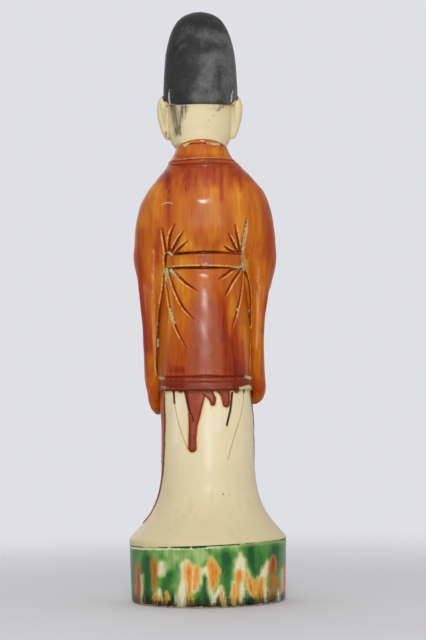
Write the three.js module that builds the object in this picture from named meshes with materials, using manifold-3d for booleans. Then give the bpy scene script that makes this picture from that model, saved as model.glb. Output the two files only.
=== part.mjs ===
// A standing tomb attendant in glazed earthenware, fired as one piece with its drum base.
// Millimetres. +Z is up, the figure faces -Y, its own left hand is on the +X side, and the
// origin is the centre of the flat underside.
import * as THREE from 'three';
import { mergeVertices } from 'three/addons/utils/BufferGeometryUtils.js';
import Module from 'manifold-3d';

const wasm = await Module();
wasm.setup();

// Driving dimensions.
const HEIGHT = 650;            // underside to the top of the hat
const BASE_HEIGHT = 69;        // the drum that the figure stands on
const BASE_RADIUS = 86.5;      // the drum at its rim
const BASE_TAPER = 1.8;        // how much smaller the drum is at its foot
const BASE_EDGE = 3.5;         // rounding of the drum's foot
const BASE_LINE_DROP = 4.6;    // the incised line lies this far below the rim
const BASE_LINE_SLOPE = -0.031; // and runs downhill to the figure's left, cut by hand
const BASE_LINE_WIDTH = 2.2;
const BASE_LINE_DEPTH = 1.2;
const FOLD_WIDTH = 2.6;        // lines pressed into the soft clay of the robe
const FOLD_DEPTH = 1.6;
const BAND_PROUD = 1.4;        // lapels, borders and sash stand this far off the robe
const GRID = 0.002;            // corners are snapped to this, so cuts leave no shorter edge

// How many flat sides each stack has, and how far apart its rings may lie.
const SIDES = {
  base: 36, robe: 24, apron: 14, sleeve: 16, arm: 11, collar: 20,
  head: 20, ear: 10, nose: 8, crown: 22, cap: 18,
};
const STEP = { robe: 34, shoulder: 14, sleeve: 45, arm: 26, head: 20, ear: 14, nose: 12, hat: 20, apron: 60 };

// The figure is a free form: its pose and carving are shares of its own height. The tables
// below are written for a figure 581 high on a drum 69 high, and level and unit carry them
// to the size above.
const DRAWN_BASE = 69;
const DRAWN_FIGURE = 581;
const unit = (HEIGHT - BASE_HEIGHT) / DRAWN_FIGURE;
const level = (z) => BASE_HEIGHT + (z - DRAWN_BASE) * unit;

// A smooth curve through rows of [height, value, value, ...] that never overshoots them.
function profile(rows) {
  const slope = (i, c) => (rows[i + 1][c] - rows[i][c]) / (rows[i + 1][0] - rows[i][0]);
  const tangent = (i, c) => {
    if (i === 0) return slope(0, c);
    if (i === rows.length - 1) return slope(i - 1, c);
    const before = slope(i - 1, c);
    const after = slope(i, c);
    return before * after <= 0 ? 0 : 2 * before * after / (before + after);
  };
  return (height) => {
    let i = 0;
    while (i < rows.length - 2 && height > rows[i + 1][0]) i += 1;
    const span = rows[i + 1][0] - rows[i][0];
    const t = Math.min(Math.max((height - rows[i][0]) / span, 0), 1);
    return rows[i].map((start, c) => {
      const end = rows[i + 1][c];
      const lead = tangent(i, c) * span;
      const trail = tangent(i + 1, c) * span;
      const blend = t * t * (3 - 2 * t);
      return start + (end - start) * blend + lead * t * (1 - t) ** 2 - trail * t * t * (1 - t);
    });
  };
}

// The heights of all rows, with more between them where they lie further apart than step.
function heights(rows, step) {
  const list = [rows[0][0]];
  for (let i = 1; i < rows.length; i += 1) {
    const count = Math.ceil((rows[i][0] - rows[i - 1][0]) / step);
    for (let k = 1; k <= count; k += 1) {
      list.push(rows[i - 1][0] + (rows[i][0] - rows[i - 1][0]) * k / count);
    }
  }
  return list;
}

// One oval ring, counter-clockwise seen from above. Front is -Y. A tilt lifts its back edge and
// a slope its left one.
function oval({ z, x = 0, y = 0, wide, front, back, turn = 0, tilt = 0, slope = 0 }, sides) {
  return Array.from({ length: sides }, (_, k) => {
    const angle = 2 * Math.PI * k / sides;
    const across = wide * Math.cos(angle);
    const deep = (Math.sin(angle) > 0 ? back : front) * Math.sin(angle);
    return new THREE.Vector3(
      x + across * Math.cos(turn) - deep * Math.sin(turn),
      y + across * Math.sin(turn) + deep * Math.cos(turn),
      z + tilt * deep + slope * across,
    );
  });
}

// A closed skin over rings of points that are stacked upwards.
function skin(rings) {
  const sides = rings[0].length;
  const middle = (ring) => ring.reduce((sum, p) => sum.add(p), new THREE.Vector3()).divideScalar(sides);
  const points = [...rings.flat(), middle(rings[0]), middle(rings.at(-1))];
  const bottom = points.length - 2;
  const top = points.length - 1;
  const last = (rings.length - 1) * sides;
  const faces = [];
  for (let k = 0; k < sides; k += 1) {
    const next = (k + 1) % sides;
    faces.push(bottom, next, k, top, last + k, last + next);
    for (let i = 0; i < rings.length - 1; i += 1) {
      const low = i * sides;
      const high = low + sides;
      faces.push(low + k, low + next, high + next, low + k, high + next, high + k);
    }
  }
  const geometry = new THREE.BufferGeometry().setFromPoints(points);
  geometry.setIndex(faces);
  return geometry;
}

function solid(geometry) {
  const bare = geometry.clone();
  bare.deleteAttribute('normal');
  bare.deleteAttribute('uv');
  const merged = mergeVertices(bare, 1e-4);
  return new wasm.Manifold(new wasm.Mesh({
    numProp: 3,
    vertProperties: new Float32Array(merged.attributes.position.array),
    triVerts: new Uint32Array(merged.index.array),
  }));
}

function meshOf(manifold) {
  const { vertProperties, triVerts } = manifold.getMesh();
  const geometry = new THREE.BufferGeometry();
  geometry.setAttribute('position', new THREE.BufferAttribute(vertProperties, 3));
  geometry.setIndex(new THREE.BufferAttribute(triVerts, 1));
  return geometry;
}

// Snaps every corner to the grid, and drops the faces that this flattens or lays on each other.
function snapped(geometry) {
  const places = geometry.attributes.position;
  for (let i = 0; i < places.array.length; i += 1) {
    places.array[i] = Math.round(places.array[i] / GRID) * GRID;
  }
  const merged = mergeVertices(geometry, GRID / 4);
  const kept = new Map();
  for (let i = 0; i < merged.index.count; i += 3) {
    const [a, b, c] = [0, 1, 2].map((k) => merged.index.getX(i + k));
    if (a === b || b === c || c === a) continue;
    const turned = [[a, b, c], [b, c, a], [c, a, b]].find((face) => face[0] === Math.min(a, b, c));
    const same = kept.get(turned.join()) ?? [];
    const opposite = kept.get([turned[0], turned[2], turned[1]].join()) ?? [];
    if (opposite.length > 0) opposite.pop();
    else kept.set(turned.join(), [...same, turned]);
  }
  merged.setIndex([...kept.values()].flat(2));
  return merged;
}

const unite = (list) => list.reduce((whole, next) => whole.add(next));

// A stack of ovals from rows of [height, x, y, half-width, front depth, back depth]. At each
// notch, a pair of [height, tilt], a V-shaped line runs round it.
function stack(rows, step, sides, notches = []) {
  const at = profile(rows);
  const lip = FOLD_WIDTH / 2 / unit;
  const plain = heights(rows, step)
    .filter((height) => notches.every(([line]) => Math.abs(height - line) > 1.5 * lip))
    .map((height) => [height, 0, 0]);
  const cut = notches.flatMap(([height, tilt]) => [
    [height - lip, tilt, 0], [height, tilt, FOLD_DEPTH], [height + lip, tilt, 0],
  ]);
  const rings = [...plain, ...cut].sort((a, b) => a[0] - b[0]).map(([height, tilt, depth]) => {
    const [, x, y, wide, front, back] = at(height);
    return oval({
      z: level(height), x: x * unit, y: y * unit, wide: wide * unit - depth,
      front: front * unit - depth, back: back * unit - depth, tilt,
    }, sides);
  });
  return solid(skin(rings));
}

// The same on the other side of the body, moved out by spread.
const mirrored = (rows, spread = 0) => rows.map(([z, x, ...rest]) => [z, -x - spread, ...rest]);

function lump(x, y, z, wide, deep, high, sides = 8) {
  const ball = new THREE.SphereGeometry(1, sides, sides - 2);
  ball.scale(wide * unit, deep * unit, high * unit);
  ball.translate(x * unit, y * unit, level(z));
  return solid(ball);
}

// Drum and skirt are one surface: the skirt flares like a bell until it meets the drum's rim.
const SKIRT_ROWS = [
  [69, 0, 0, 50, 46, 46], [80, -2, 0, 50, 46, 46], [190, -2, 0, 50, 46, 46],
  [231, 0, 0, 50, 46, 46], [250, 0, 0, 48, 44, 44],
];
const FOOT_STEPS = 2;
const FLARE_RISE = 29;
const FLARE_POWER = 1.3;
const FLARE_RINGS = [3, 7, 12, 18, 25, 34, 46, 64, 100, 181];

function drumAndSkirt() {
  const foot = BASE_RADIUS - BASE_TAPER;
  const drum = [[0, foot - BASE_EDGE]];
  for (let k = 1; k <= FOOT_STEPS; k += 1) {
    const angle = Math.PI / 2 * k / FOOT_STEPS;
    drum.push([BASE_EDGE * (1 - Math.cos(angle)), foot - BASE_EDGE * (1 - Math.sin(angle))]);
  }
  const wall = (z, depth = 0) => [z, foot + BASE_TAPER * z / BASE_HEIGHT - depth];
  const rings = drum.map(([z, radius]) => oval({ z, wide: radius, front: radius, back: radius }, SIDES.base));
  const line = BASE_HEIGHT - BASE_LINE_DROP;
  for (const [step, depth] of [[-1, 0], [0, BASE_LINE_DEPTH], [1, 0]]) {
    const [z, radius] = wall(line + step * BASE_LINE_WIDTH / 2, depth);
    rings.push(oval({ z, wide: radius, front: radius, back: radius, slope: BASE_LINE_SLOPE }, SIDES.base));
  }
  rings.push(oval({ z: BASE_HEIGHT, wide: BASE_RADIUS, front: BASE_RADIUS, back: BASE_RADIUS }, SIDES.base));
  const at = profile(SKIRT_ROWS);
  for (const rise of FLARE_RINGS) {
    const [, x, y, wide, front, back] = at(DRAWN_BASE + rise);
    const share = Math.exp(-((rise / FLARE_RISE) ** FLARE_POWER));
    const grown = (radius) => radius * unit + (BASE_RADIUS - radius * unit) * share;
    rings.push(oval({
      z: BASE_HEIGHT + rise * unit, x: x * unit * (1 - share), y: y * unit,
      wide: grown(wide), front: grown(front), back: grown(back),
    }, SIDES.base));
  }
  return solid(skin(rings));
}

// Body. The jacket's hem stands off the skirt; the neck is the top of the same stack.
const JACKET_ROWS = [
  [231, 0, 0, 51.5, 47.5, 48], [234, 0, 0, 52.6, 48.5, 49], [247, 0, 0, 52.6, 48.5, 48.5],
  [300, 0, 0, 50, 47, 44], [340, 0, 0, 46, 44, 39], [368, 0, 0, 44, 41, 35.5],
  [383, 0, 0, 44.5, 41, 35.5], [400, 0, 0, 47, 40, 36], [440, -1, 0, 46, 33, 34],
  [480, 0, 1, 27.5, 24, 27], [515, 2, 2, 27, 24, 27],
];
const BELT_TOP = 383;
const BELT_FOOT = 367.5;
const BELT_TILT = 0.05;
const HEM_LINES = [240.5, 247.5];
const JACKET_LINES = [
  [HEM_LINES[0], 0], [HEM_LINES[1], 0], [BELT_FOOT, BELT_TILT], [BELT_TOP, BELT_TILT],
];
const SHOULDER_ROWS = [
  [361, -1.5, 0, 50, 14, 6], [368, -1.5, 0, 63, 26, 15], [376, -1.5, 0, 70, 33, 23],
  [386, -1.8, 0, 74.5, 36, 31], [398, -2.1, 0, 75.5, 38, 37.5], [414, -1.65, 0, 74.9, 39, 40],
  [435, -1.7, 0, 71.3, 38, 40], [451, -2.7, 0, 64.3, 35, 38], [462, -2.6, 0, 55.5, 33, 36],
  [468.5, -2.4, 0, 50, 31.5, 34.5], [476, -1.7, 0, 43, 29.5, 32.5], [483, -1, 0, 36.7, 27, 30.5],
  [488, -0.5, 0, 29, 22, 26],
];
const UPPER_ARM_ROWS = [
  [318, 55, -5, 5, 8, 6], [334, 56, -5, 11, 15, 12], [350, 57.5, -5, 14.5, 22, 17],
  [372, 59.5, -5, 16.8, 26, 21], [398, 58.5, -5, 16.5, 27, 24], [420, 56, -5, 15, 25, 22],
  [440, 51, -5, 11, 20, 18], [455, 45, -5, 6, 12, 10],
];
const RIGHT_ARM_SPREAD = 2.4;

// A sleeve hangs as a curtain. Each row gives [height, the oval's outer end x y, its inner end
// x y, half its thickness].
const LEFT_SLEEVE_ROWS = [
  [206.6, 54, -20, 52.5, -24, 1.6], [211.5, 56.5, -12, 50, -32, 5.6], [227, 60, -4, 44, -41, 9.8],
  [246, 63, 1, 40, -46, 11.5], [265, 64, 5, 36, -50, 12], [300, 66, 9, 26, -58, 12.5],
  [341, 69.5, 10, 16, -63, 14], [385, 73, 2, 6, -66, 16], [404, 66, -10, 8, -66, 13],
  [414, 56, -22, 12, -62, 7],
];
const RIGHT_SLEEVE_ROWS = [
  [217, -55, -17, -51, -27, 3], [222, -59, -9, -49, -34, 8], [232, -62.5, -2, -43, -42, 11],
  [248, -61.5, 2, -40, -46, 11.5], [277, -61, 6, -33, -53, 12], [309, -63.5, 9, -24, -59, 12.5],
  [341, -69, 10, -16, -63, 14], [385, -75.5, 2, -6, -66, 16], [404, -68, -10, -8, -66, 13],
  [414, -58, -22, -12, -62, 7],
];

function sleeve(rows) {
  const at = profile(rows);
  const rings = heights(rows, STEP.sleeve).map((height) => {
    const [, outerX, outerY, innerX, innerY, thick] = at(height);
    const outwards = Math.sign(outerX);
    return oval({
      z: level(height), x: (outerX + innerX) / 2 * unit, y: (outerY + innerY) / 2 * unit,
      wide: Math.hypot(outerX - innerX, outerY - innerY) / 2 * unit,
      front: thick * unit, back: thick * unit,
      turn: Math.atan2((outerY - innerY) * outwards, (outerX - innerX) * outwards),
    }, SIDES.sleeve);
  });
  return solid(skin(rings));
}

// A round limb between two points, with domed ends.
function limb(from, to, startRadius, endRadius) {
  const start = new THREE.Vector3(from[0] * unit, from[1] * unit, level(from[2]));
  const end = new THREE.Vector3(to[0] * unit, to[1] * unit, level(to[2]));
  const length = start.distanceTo(end);
  const shape = [[-0.75, 0.55], [-0.4, 0.88], [0, 1], [1, 1], [1.4, 0.88], [1.75, 0.55]];
  const rings = shape.map(([place, fullness]) => {
    const along = Math.min(Math.max(place, 0), 1);
    const radius = (startRadius + (endRadius - startRadius) * along) * unit;
    const z = along * length + (place - along) * radius;
    return oval({ z, wide: radius * fullness, front: radius * fullness, back: radius * fullness }, SIDES.arm);
  });
  const geometry = skin(rings);
  const direction = end.clone().sub(start).normalize();
  geometry.applyQuaternion(new THREE.Quaternion().setFromUnitVectors(new THREE.Vector3(0, 0, 1), direction));
  geometry.translate(start.x, start.y, start.z);
  return solid(geometry);
}

function arms() {
  const hands = lump(0, -65, 401, 17, 14, 15);
  const left = limb([57, -8, 381], [11, -60, 402], 18.5, 15);
  const right = limb([-59, -8, 381], [-11, -60, 402], 18.5, 15);
  return [
    hands, left, right, sleeve(LEFT_SLEEVE_ROWS), sleeve(RIGHT_SLEEVE_ROWS),
    stack(UPPER_ARM_ROWS, STEP.arm, SIDES.arm),
    stack(mirrored(UPPER_ARM_ROWS, RIGHT_ARM_SPREAD), STEP.arm, SIDES.arm),
  ];
}

// The collar stands up round the neck, high at the nape and low in front, over a rolled welt.
function collar() {
  const rows = [
    { z: 478, wide: 35.8, front: 31, back: 32.6, tilt: 0.06 },
    { z: 483, wide: 37, front: 32.2, back: 34, tilt: 0.07 },
    { z: 485, wide: 36.3, front: 32, back: 33.6, tilt: 0.09 },
    { z: 486, wide: 34.2, front: 30, back: 32.2, tilt: 0.11 },
    { z: 492, wide: 30.2, front: 27.4, back: 30.2, tilt: 0.32 },
    { z: 495.5, wide: 28.2, front: 26.2, back: 29.4, tilt: 0.4 },
  ];
  const rings = rows.map(({ z, wide, front, back, tilt }) => oval({
    z: level(z), x: 0.5 * unit, y: unit, wide: wide * unit, front: front * unit, back: back * unit, tilt,
  }, SIDES.collar));
  return solid(skin(rings));
}

// Head and face, on plain school proportions.
const HEAD_X = 2.2;
const HEAD_ROWS = [
  [488, 0, -2, 6, 24, 6], [490, 0, -2, 13, 31, 14], [494, 0, -2, 21, 35.5, 20],
  [500, 0, -2, 28, 37, 24], [507, 0, -2, 32.5, 37.5, 27], [515, 0, -2, 35, 38, 30],
  [525, 0, -2, 36.3, 38.5, 32.5], [545, 0, -2, 36.4, 38, 33.5], [560, 0, -2, 35, 35, 31],
];
const EAR_ROWS = [
  [509, 35.5, 1, 2, 2, 2], [513, 36.5, 1, 4, 5, 4], [522, 38.5, 1, 5.2, 7.5, 6],
  [536, 41, 2, 5.9, 10, 8], [545, 41.5, 2, 5.6, 10.5, 8.5], [553, 40, 2, 5, 9, 7.5],
  [558, 38, 2, 2.5, 4, 4],
];
const NOSE_ROWS = [
  [514, 0, -39, 4, 2.5, 3], [517, 0, -39, 6.4, 7.5, 3], [521, 0, -39, 5.8, 9, 3],
  [530, 0, -39, 3.8, 6.5, 3], [540, 0, -38.5, 3, 4.2, 3], [548, 0, -38, 3.4, 2.2, 3],
];
const atHead = (rows) => rows.map(([z, x, ...rest]) => [z, x + HEAD_X, ...rest]);

function head() {
  const features = [
    stack(atHead(HEAD_ROWS), STEP.head, SIDES.head),
    stack(atHead(EAR_ROWS), STEP.ear, SIDES.ear),
    stack(atHead(mirrored(EAR_ROWS)), STEP.ear, SIDES.ear),
    stack(atHead(NOSE_ROWS), STEP.nose, SIDES.nose),
    lump(HEAD_X, -33.5, 495, 10, 7.5, 6.5),
    lump(HEAD_X, -37.6, 507.6, 8.6, 3.6, 1.9),
    lump(HEAD_X, -37.4, 503.8, 7, 3.4, 1.9),
  ];
  for (const side of [-1, 1]) {
    features.push(
      lump(HEAD_X + side * 14.5, -34.4, 536.5, 8.2, 4, 3.2),
      lump(HEAD_X + side * 14.5, -33.4, 546.5, 10.5, 4.2, 1.9),
    );
  }
  return features;
}

// The hat has a tall domed back and a lower cap in front.
const CROWN_ROWS = [
  [547.5, 1, 6, 36.8, 20, 28.5], [550.5, 1, 6, 39.4, 20, 30.6], [561, 1, 6, 40.9, 20, 31.4],
  [580, 1, 6, 40.1, 19, 30.4], [600, 1, 6, 38.3, 18, 27.6], [615, 1, 6, 35.4, 18, 24.6],
  [627, 1, 5, 31.7, 16.5, 21.5], [639, 1, 4, 25, 12.5, 15.8], [645.5, 1, 3, 17.5, 8.5, 10.4],
  [649, 1, 2, 8.5, 4.4, 5], [650, 1, 2, 2.4, 1.2, 1.4],
];
const CAP_ROWS = [
  [549, 1, -3, 37, 36.8, 30], [553, 1, -3, 38.5, 38.5, 30], [560, 1, -3, 38.5, 39.5, 30],
  [575, 1, -3, 37, 37, 30], [590, 1, -3, 30, 29, 26], [598, 1, -3, 20, 19, 20],
  [603, 1, -3, 8, 7, 10],
];

const hat = () => [stack(CROWN_ROWS, STEP.hat, SIDES.crown), stack(CAP_ROWS, STEP.hat, SIDES.cap)];

// Shoe tips look out under the skirt in front.
const shoes = () => [-1, 1].map((side) => lump(side * 21, -65.5, 80, 15, 19.5, 12, 10));

const body = unite([
  drumAndSkirt(), stack(JACKET_ROWS, STEP.robe, SIDES.robe, JACKET_LINES),
  stack(SHOULDER_ROWS, STEP.shoulder, SIDES.robe), ...arms(), collar(), ...head(), ...hat(), ...shoes(),
]);

// Lines and bands are laid on the finished body: a drawn path of [x, height] is thrown onto it
// from behind or from in front, and each point keeps the surface's own direction there.
const BEHIND = 1;
const IN_FRONT = -1;
const FAR_OFF = 2 * BASE_RADIUS;
const target = new THREE.Mesh(meshOf(body), new THREE.MeshBasicMaterial({ side: THREE.DoubleSide }));
const caster = new THREE.Raycaster();

function thrown(path, side, step) {
  const curve = new THREE.CatmullRomCurve3(path.map(([x, z]) => new THREE.Vector3(x * unit, 0, level(z))));
  const count = Math.max(2, Math.ceil(curve.getLength() / (step * unit)));
  const trail = [];
  for (const point of curve.getSpacedPoints(count)) {
    caster.set(new THREE.Vector3(point.x, side * FAR_OFF, point.z), new THREE.Vector3(0, -side, 0));
    const [hit] = caster.intersectObject(target);
    if (hit) trail.push({ point: hit.point, normal: hit.face.normal.clone() });
  }
  return trail;
}

// Sweeps a flat section of [across, out] corners along a trail, and shrinks both its ends to
// the given share.
function swept(trail, section, endShare) {
  const last = trail.length - 1;
  return solid(skin(trail.map(({ point, normal }, i) => {
    const along = trail[Math.min(i + 1, last)].point.clone().sub(trail[Math.max(i - 1, 0)].point).normalize();
    const out = normal.clone().addScaledVector(along, -normal.dot(along)).normalize();
    const across = out.clone().cross(along);
    const share = i === 0 || i === last ? endShare : 1;
    return section.map(([sideways, height]) => point.clone()
      .addScaledVector(across, sideways * share).addScaledVector(out, height > 0 ? height : height * share));
  })));
}

// A V-shaped cutter that stands a little out of the surface.
const CUTTER_RISE = 2;
const LINE_END = 0.35;
const wedge = (width, depth) => {
  const half = width / 2 * (depth + CUTTER_RISE) / depth;
  return [[0, -depth], [half, CUTTER_RISE], [-half, CUTTER_RISE]];
};
const line = (path, side, step = 15) =>
  swept(thrown(path, side, step), wedge(FOLD_WIDTH, FOLD_DEPTH), LINE_END);

// A flat strip that lies on the surface, with its lower half buried.
const strip = (path, side, width, step = 14, buried = 4) => {
  const half = width / 2 * unit;
  const section = [[-half, -buried], [half, -buried], [half, BAND_PROUD], [-half, BAND_PROUD]];
  return swept(thrown(path, side, step), section, 1);
};

// Folds fan out from both ends of the belt, up over the shoulders and down the skirts of the
// jacket. Each is [angle from upright, positive towards the spine, length].
const BELT_ENDS = [{ x: 41, inwards: -1 }, { x: -42, inwards: 1 }];
const FANS = [
  { up: [[-10, 28], [11, 33], [33, 29], [50, 21]], down: [[49, 34], [27, 56], [14, 87]] },
  { up: [[-7, 41], [11, 32], [27, 24], [62, 16]], down: [[61, 25], [31, 35], [10, 67]] },
];
const FAN_START = 7;
const FAN_BEND = 0.06;

function fan({ x, inwards }, root, upwards, folds) {
  return folds.map(([angle, length]) => {
    const lean = THREE.MathUtils.degToRad(angle);
    const place = (run, bend) => [
      x + inwards * (Math.sin(lean) * run + Math.cos(lean) * bend),
      root + upwards * (Math.cos(lean) * run - Math.sin(lean) * bend),
    ];
    return line([place(FAN_START, 0), place(length / 2, length * FAN_BEND), place(length, 0)], BEHIND);
  });
}

const beltLines = () => [
  ...BELT_ENDS.map(({ x }) => line([[x, BELT_TOP], [x, BELT_FOOT]], BEHIND, 12)),
  ...FANS.flatMap(({ up, down }, i) => [
    ...fan(BELT_ENDS[i], BELT_TOP, 1, up), ...fan(BELT_ENDS[i], BELT_FOOT, -1, down),
  ]),
];

// Pressed lines on the skirt behind, and its long folds in front.
const SKIRT_BACK_LINES = [
  [[21.6, 226], [19.8, 216.6], [16.1, 203.9]], [[-29, 226], [-27, 210.3], [-23, 193.2]],
];
const SKIRT_FRONT_LINES = [
  [[32, 225], [31, 170], [42, 106]], [[-32, 225], [-31, 170], [-42, 106]],
];
const skirtLines = () => [
  ...SKIRT_BACK_LINES.map((path) => line(path, BEHIND)),
  ...SKIRT_FRONT_LINES.map((path) => line(path, IN_FRONT, 20)),
];

// Each sleeve has a pressed border beside its opening and folds that fall from the elbow.
const SLEEVE_LINES = [
  [[16, 374], [24, 330], [34, 292], [44, 250], [50, 224]],
  [[34, 384], [48, 344], [55, 290]],
];
const sleeveLines = () => [-1, 1].flatMap((side) => SLEEVE_LINES
  .map((path) => line(path.map(([x, z]) => [side * x, z]), IN_FRONT, 20)));

// The hat's edge is notched on both sides behind, where its ties went.
const HAT_NOTCHES = [[[35.5, 550], [35, 565]], [[-33.5, 550], [-33, 565]]];
const hatLines = () => HAT_NOTCHES.map((path) => line(path, BEHIND, 15));

// Crossed lapels and a sash in front, over an apron that hangs below the jacket.
const LAPELS = [[[-26.4, 479], [-14, 452], [15, 417]], [[27, 479], [15, 452], [-14, 417]]];
const SASH = [[2, 366], [1.5, 300], [1, 236]];
const APRON_ROWS = [
  [98, 0, -30, 19, 33, 10], [103, 0, -30, 22.5, 31.5, 10], [120, 0, -30, 21, 24, 10],
  [150, 0, -30, 19, 19.5, 10], [245, 0, -30, 18, 18, 10],
];
const bands = () => [
  ...LAPELS.map((path, i) => strip(path, IN_FRONT, 13, 13, 4 + i)), strip(SASH, IN_FRONT, 10.5, 33, 9),
  stack(APRON_ROWS, STEP.apron, SIDES.apron),
];

const cutters = [...beltLines(), ...skirtLines(), ...sleeveLines(), ...hatLines()];
const cut = cutters.reduce((whole, cutter) => whole.subtract(cutter), unite([body, ...bands()]));

// Chips of clay that crossing lines cut loose fall away, and the one large piece stays.
const [carved] = solid(snapped(meshOf(cut))).decompose().sort((a, b) => b.volume() - a.volume());

const glaze = new THREE.MeshStandardMaterial({ color: 0xb5621e, roughness: 0.25, metalness: 0 });
const figure = new THREE.Mesh(meshOf(carved), glaze);
figure.name = 'figure';

const attendant = new THREE.Group();
attendant.add(figure);

export default attendant;
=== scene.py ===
# %% [markdown]
# A tomb attendant in lead-glazed earthenware
#
# The real figure is one fired piece: a drum base, a long skirt that flares like a bell where it
# meets the drum, a jacket with a belt, wide sleeves, and a bare head under a tall black hat. It
# was pressed in moulds, joined while soft, and its lines were drawn in the clay with a pointed
# tool. Amber, green and cream glaze were brushed on and ran in the kiln.
#
# This script builds it as the potter did. Simple closed forms are pressed together into one
# block of clay, lines are carved and bands are laid on, then the glaze gets its thickness and
# its colours. Everything is worked out in drawn millimetres, for a figure 650 high, and is
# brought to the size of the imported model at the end.

# %% Load the frame
import math

import bpy
import numpy as np
import openvdb
from mathutils import Matrix, Vector
from mathutils.kdtree import KDTree


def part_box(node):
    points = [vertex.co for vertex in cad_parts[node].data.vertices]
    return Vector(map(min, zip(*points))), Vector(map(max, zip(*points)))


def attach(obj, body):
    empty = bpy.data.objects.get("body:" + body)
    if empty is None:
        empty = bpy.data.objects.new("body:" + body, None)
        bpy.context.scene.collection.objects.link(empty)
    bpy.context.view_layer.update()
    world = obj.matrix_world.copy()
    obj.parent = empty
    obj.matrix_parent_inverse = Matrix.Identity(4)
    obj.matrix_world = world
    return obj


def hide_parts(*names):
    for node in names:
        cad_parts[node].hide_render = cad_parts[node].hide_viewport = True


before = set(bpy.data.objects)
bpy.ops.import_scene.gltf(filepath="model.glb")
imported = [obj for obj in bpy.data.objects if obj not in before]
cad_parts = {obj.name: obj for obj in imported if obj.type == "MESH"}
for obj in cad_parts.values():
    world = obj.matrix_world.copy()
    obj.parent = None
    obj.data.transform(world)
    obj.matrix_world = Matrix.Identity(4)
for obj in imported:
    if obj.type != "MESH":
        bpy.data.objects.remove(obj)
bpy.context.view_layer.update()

DRAWN_HEIGHT = 650.0
FOOT_CORNER, TOP_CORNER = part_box("figure")
MM = (TOP_CORNER.z - FOOT_CORNER.z) / DRAWN_HEIGHT
TURN = 2 * math.pi
print("one drawn millimetre is", round(MM, 6), "metres")

# %% [markdown]
# The camera comes first
#
# The figure is seen from behind, from a little under half its height, through a long lens. The
# camera leans a little. Fixing it first lets a painted or carved place be given by where it is
# seen: a sight line through that place of the picture meets the clay, so the mark sits on the
# surface and stays there from any side. The alternative is to give three coordinates for each
# point of each stroke, which is hard to read and easy to get wrong.

# %% Camera
PICTURE = (426, 640)
PICTURE_MM = 1.105                      # one pixel on the plane through the figure's axis
CAMERA_PLACE = np.array([-4.0, 2800.0, 287.0])
CAMERA_AIM = np.array([-9.2, 0.0, 309.4])
CAMERA_ROLL = math.radians(0.825)
CAMERA_SENSOR = 36.0
FOCAL_PIXELS = np.linalg.norm(CAMERA_AIM - CAMERA_PLACE) / PICTURE_MM


def unit_vector(vector):
    return vector / np.linalg.norm(vector)


LOOK = unit_vector(CAMERA_AIM - CAMERA_PLACE)
LEVEL = unit_vector(np.cross(LOOK, [0, 0, 1]))
UPRIGHT = np.cross(LEVEL, LOOK)
CAMERA_UP = math.cos(CAMERA_ROLL) * UPRIGHT + math.sin(CAMERA_ROLL) * LEVEL
CAMERA_RIGHT = np.cross(LOOK, CAMERA_UP)

camera = bpy.data.objects.new("camera", bpy.data.cameras.new("camera"))
bpy.context.scene.collection.objects.link(camera)
bpy.context.scene.camera = camera
axes = Matrix([CAMERA_RIGHT, CAMERA_UP, -LOOK]).transposed().to_4x4()
camera.matrix_world = Matrix.Translation(Vector(CAMERA_PLACE * MM)) @ axes
camera.data.sensor_width = CAMERA_SENSOR
camera.data.lens = CAMERA_SENSOR * FOCAL_PIXELS / max(PICTURE)
camera.data.clip_start, camera.data.clip_end = 0.05, 50


def seen_at(points):
    """Where points in drawn millimetres are seen, in pixels of the picture."""
    away = np.asarray(points) - CAMERA_PLACE
    depth = away @ LOOK
    across = PICTURE[0] / 2 + FOCAL_PIXELS * (away @ CAMERA_RIGHT) / depth
    down = PICTURE[1] / 2 - FOCAL_PIXELS * (away @ CAMERA_UP) / depth
    return np.stack([across, down], 1)


def sight_lines(pixels):
    """The directions from the camera through places of the picture."""
    pixels = np.asarray(pixels, float)
    across = (pixels[:, :1] - PICTURE[0] / 2) / FOCAL_PIXELS
    up = (PICTURE[1] / 2 - pixels[:, 1:2]) / FOCAL_PIXELS
    way = LOOK + across * CAMERA_RIGHT + up * CAMERA_UP
    return way / np.linalg.norm(way, axis=1, keepdims=True)


print("the lens is", round(camera.data.lens, 1), "mm long")

# %% [markdown]
# Forms from stacked rings
#
# Every limb and garment starts as a stack of oval rings whose sizes follow a smooth curve. A
# curve that never overshoots its points keeps a skirt or a sleeve from bulging between two of
# them, which a common spline would do.

# %% A smooth curve through rows, and rings along it
RING_SIDES = 144


def profile(rows):
    """A curve through rows of [height, value, value, ...] that never overshoots them."""
    table = np.array(rows, float)
    heights, values = table[:, 0], table[:, 1:]
    slopes = np.diff(values, axis=0) / np.diff(heights)[:, None]
    before, after = slopes[:-1], slopes[1:]
    same_way = before * after > 0
    total = np.where(same_way, before + after, 1)
    inner = np.where(same_way, 2 * before * after / total, 0)
    tangents = np.vstack([slopes[:1], inner, slopes[-1:]])

    def at(height):
        height = np.atleast_1d(np.asarray(height, float))
        i = np.clip(np.searchsorted(heights, height) - 1, 0, len(heights) - 2)
        span = (heights[i + 1] - heights[i])[:, None]
        t = np.clip((height - heights[i])[:, None] / span, 0, 1)
        start, end = values[i], values[i + 1]
        lead, trail = tangents[i] * span, tangents[i + 1] * span
        eased = start + (end - start) * t * t * (3 - 2 * t)
        return (eased + lead * t * (1 - t) ** 2 - trail * t * t * (1 - t)).T

    return at


def spaced(rows, step):
    """The heights of all rows, with more between them."""
    heights = [row[0] for row in rows]
    parts = [
        np.linspace(low, high, max(1, math.ceil((high - low) / step)), endpoint=False)
        for low, high in zip(heights, heights[1:])
    ]
    return np.concatenate(parts + [heights[-1:]])


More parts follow.
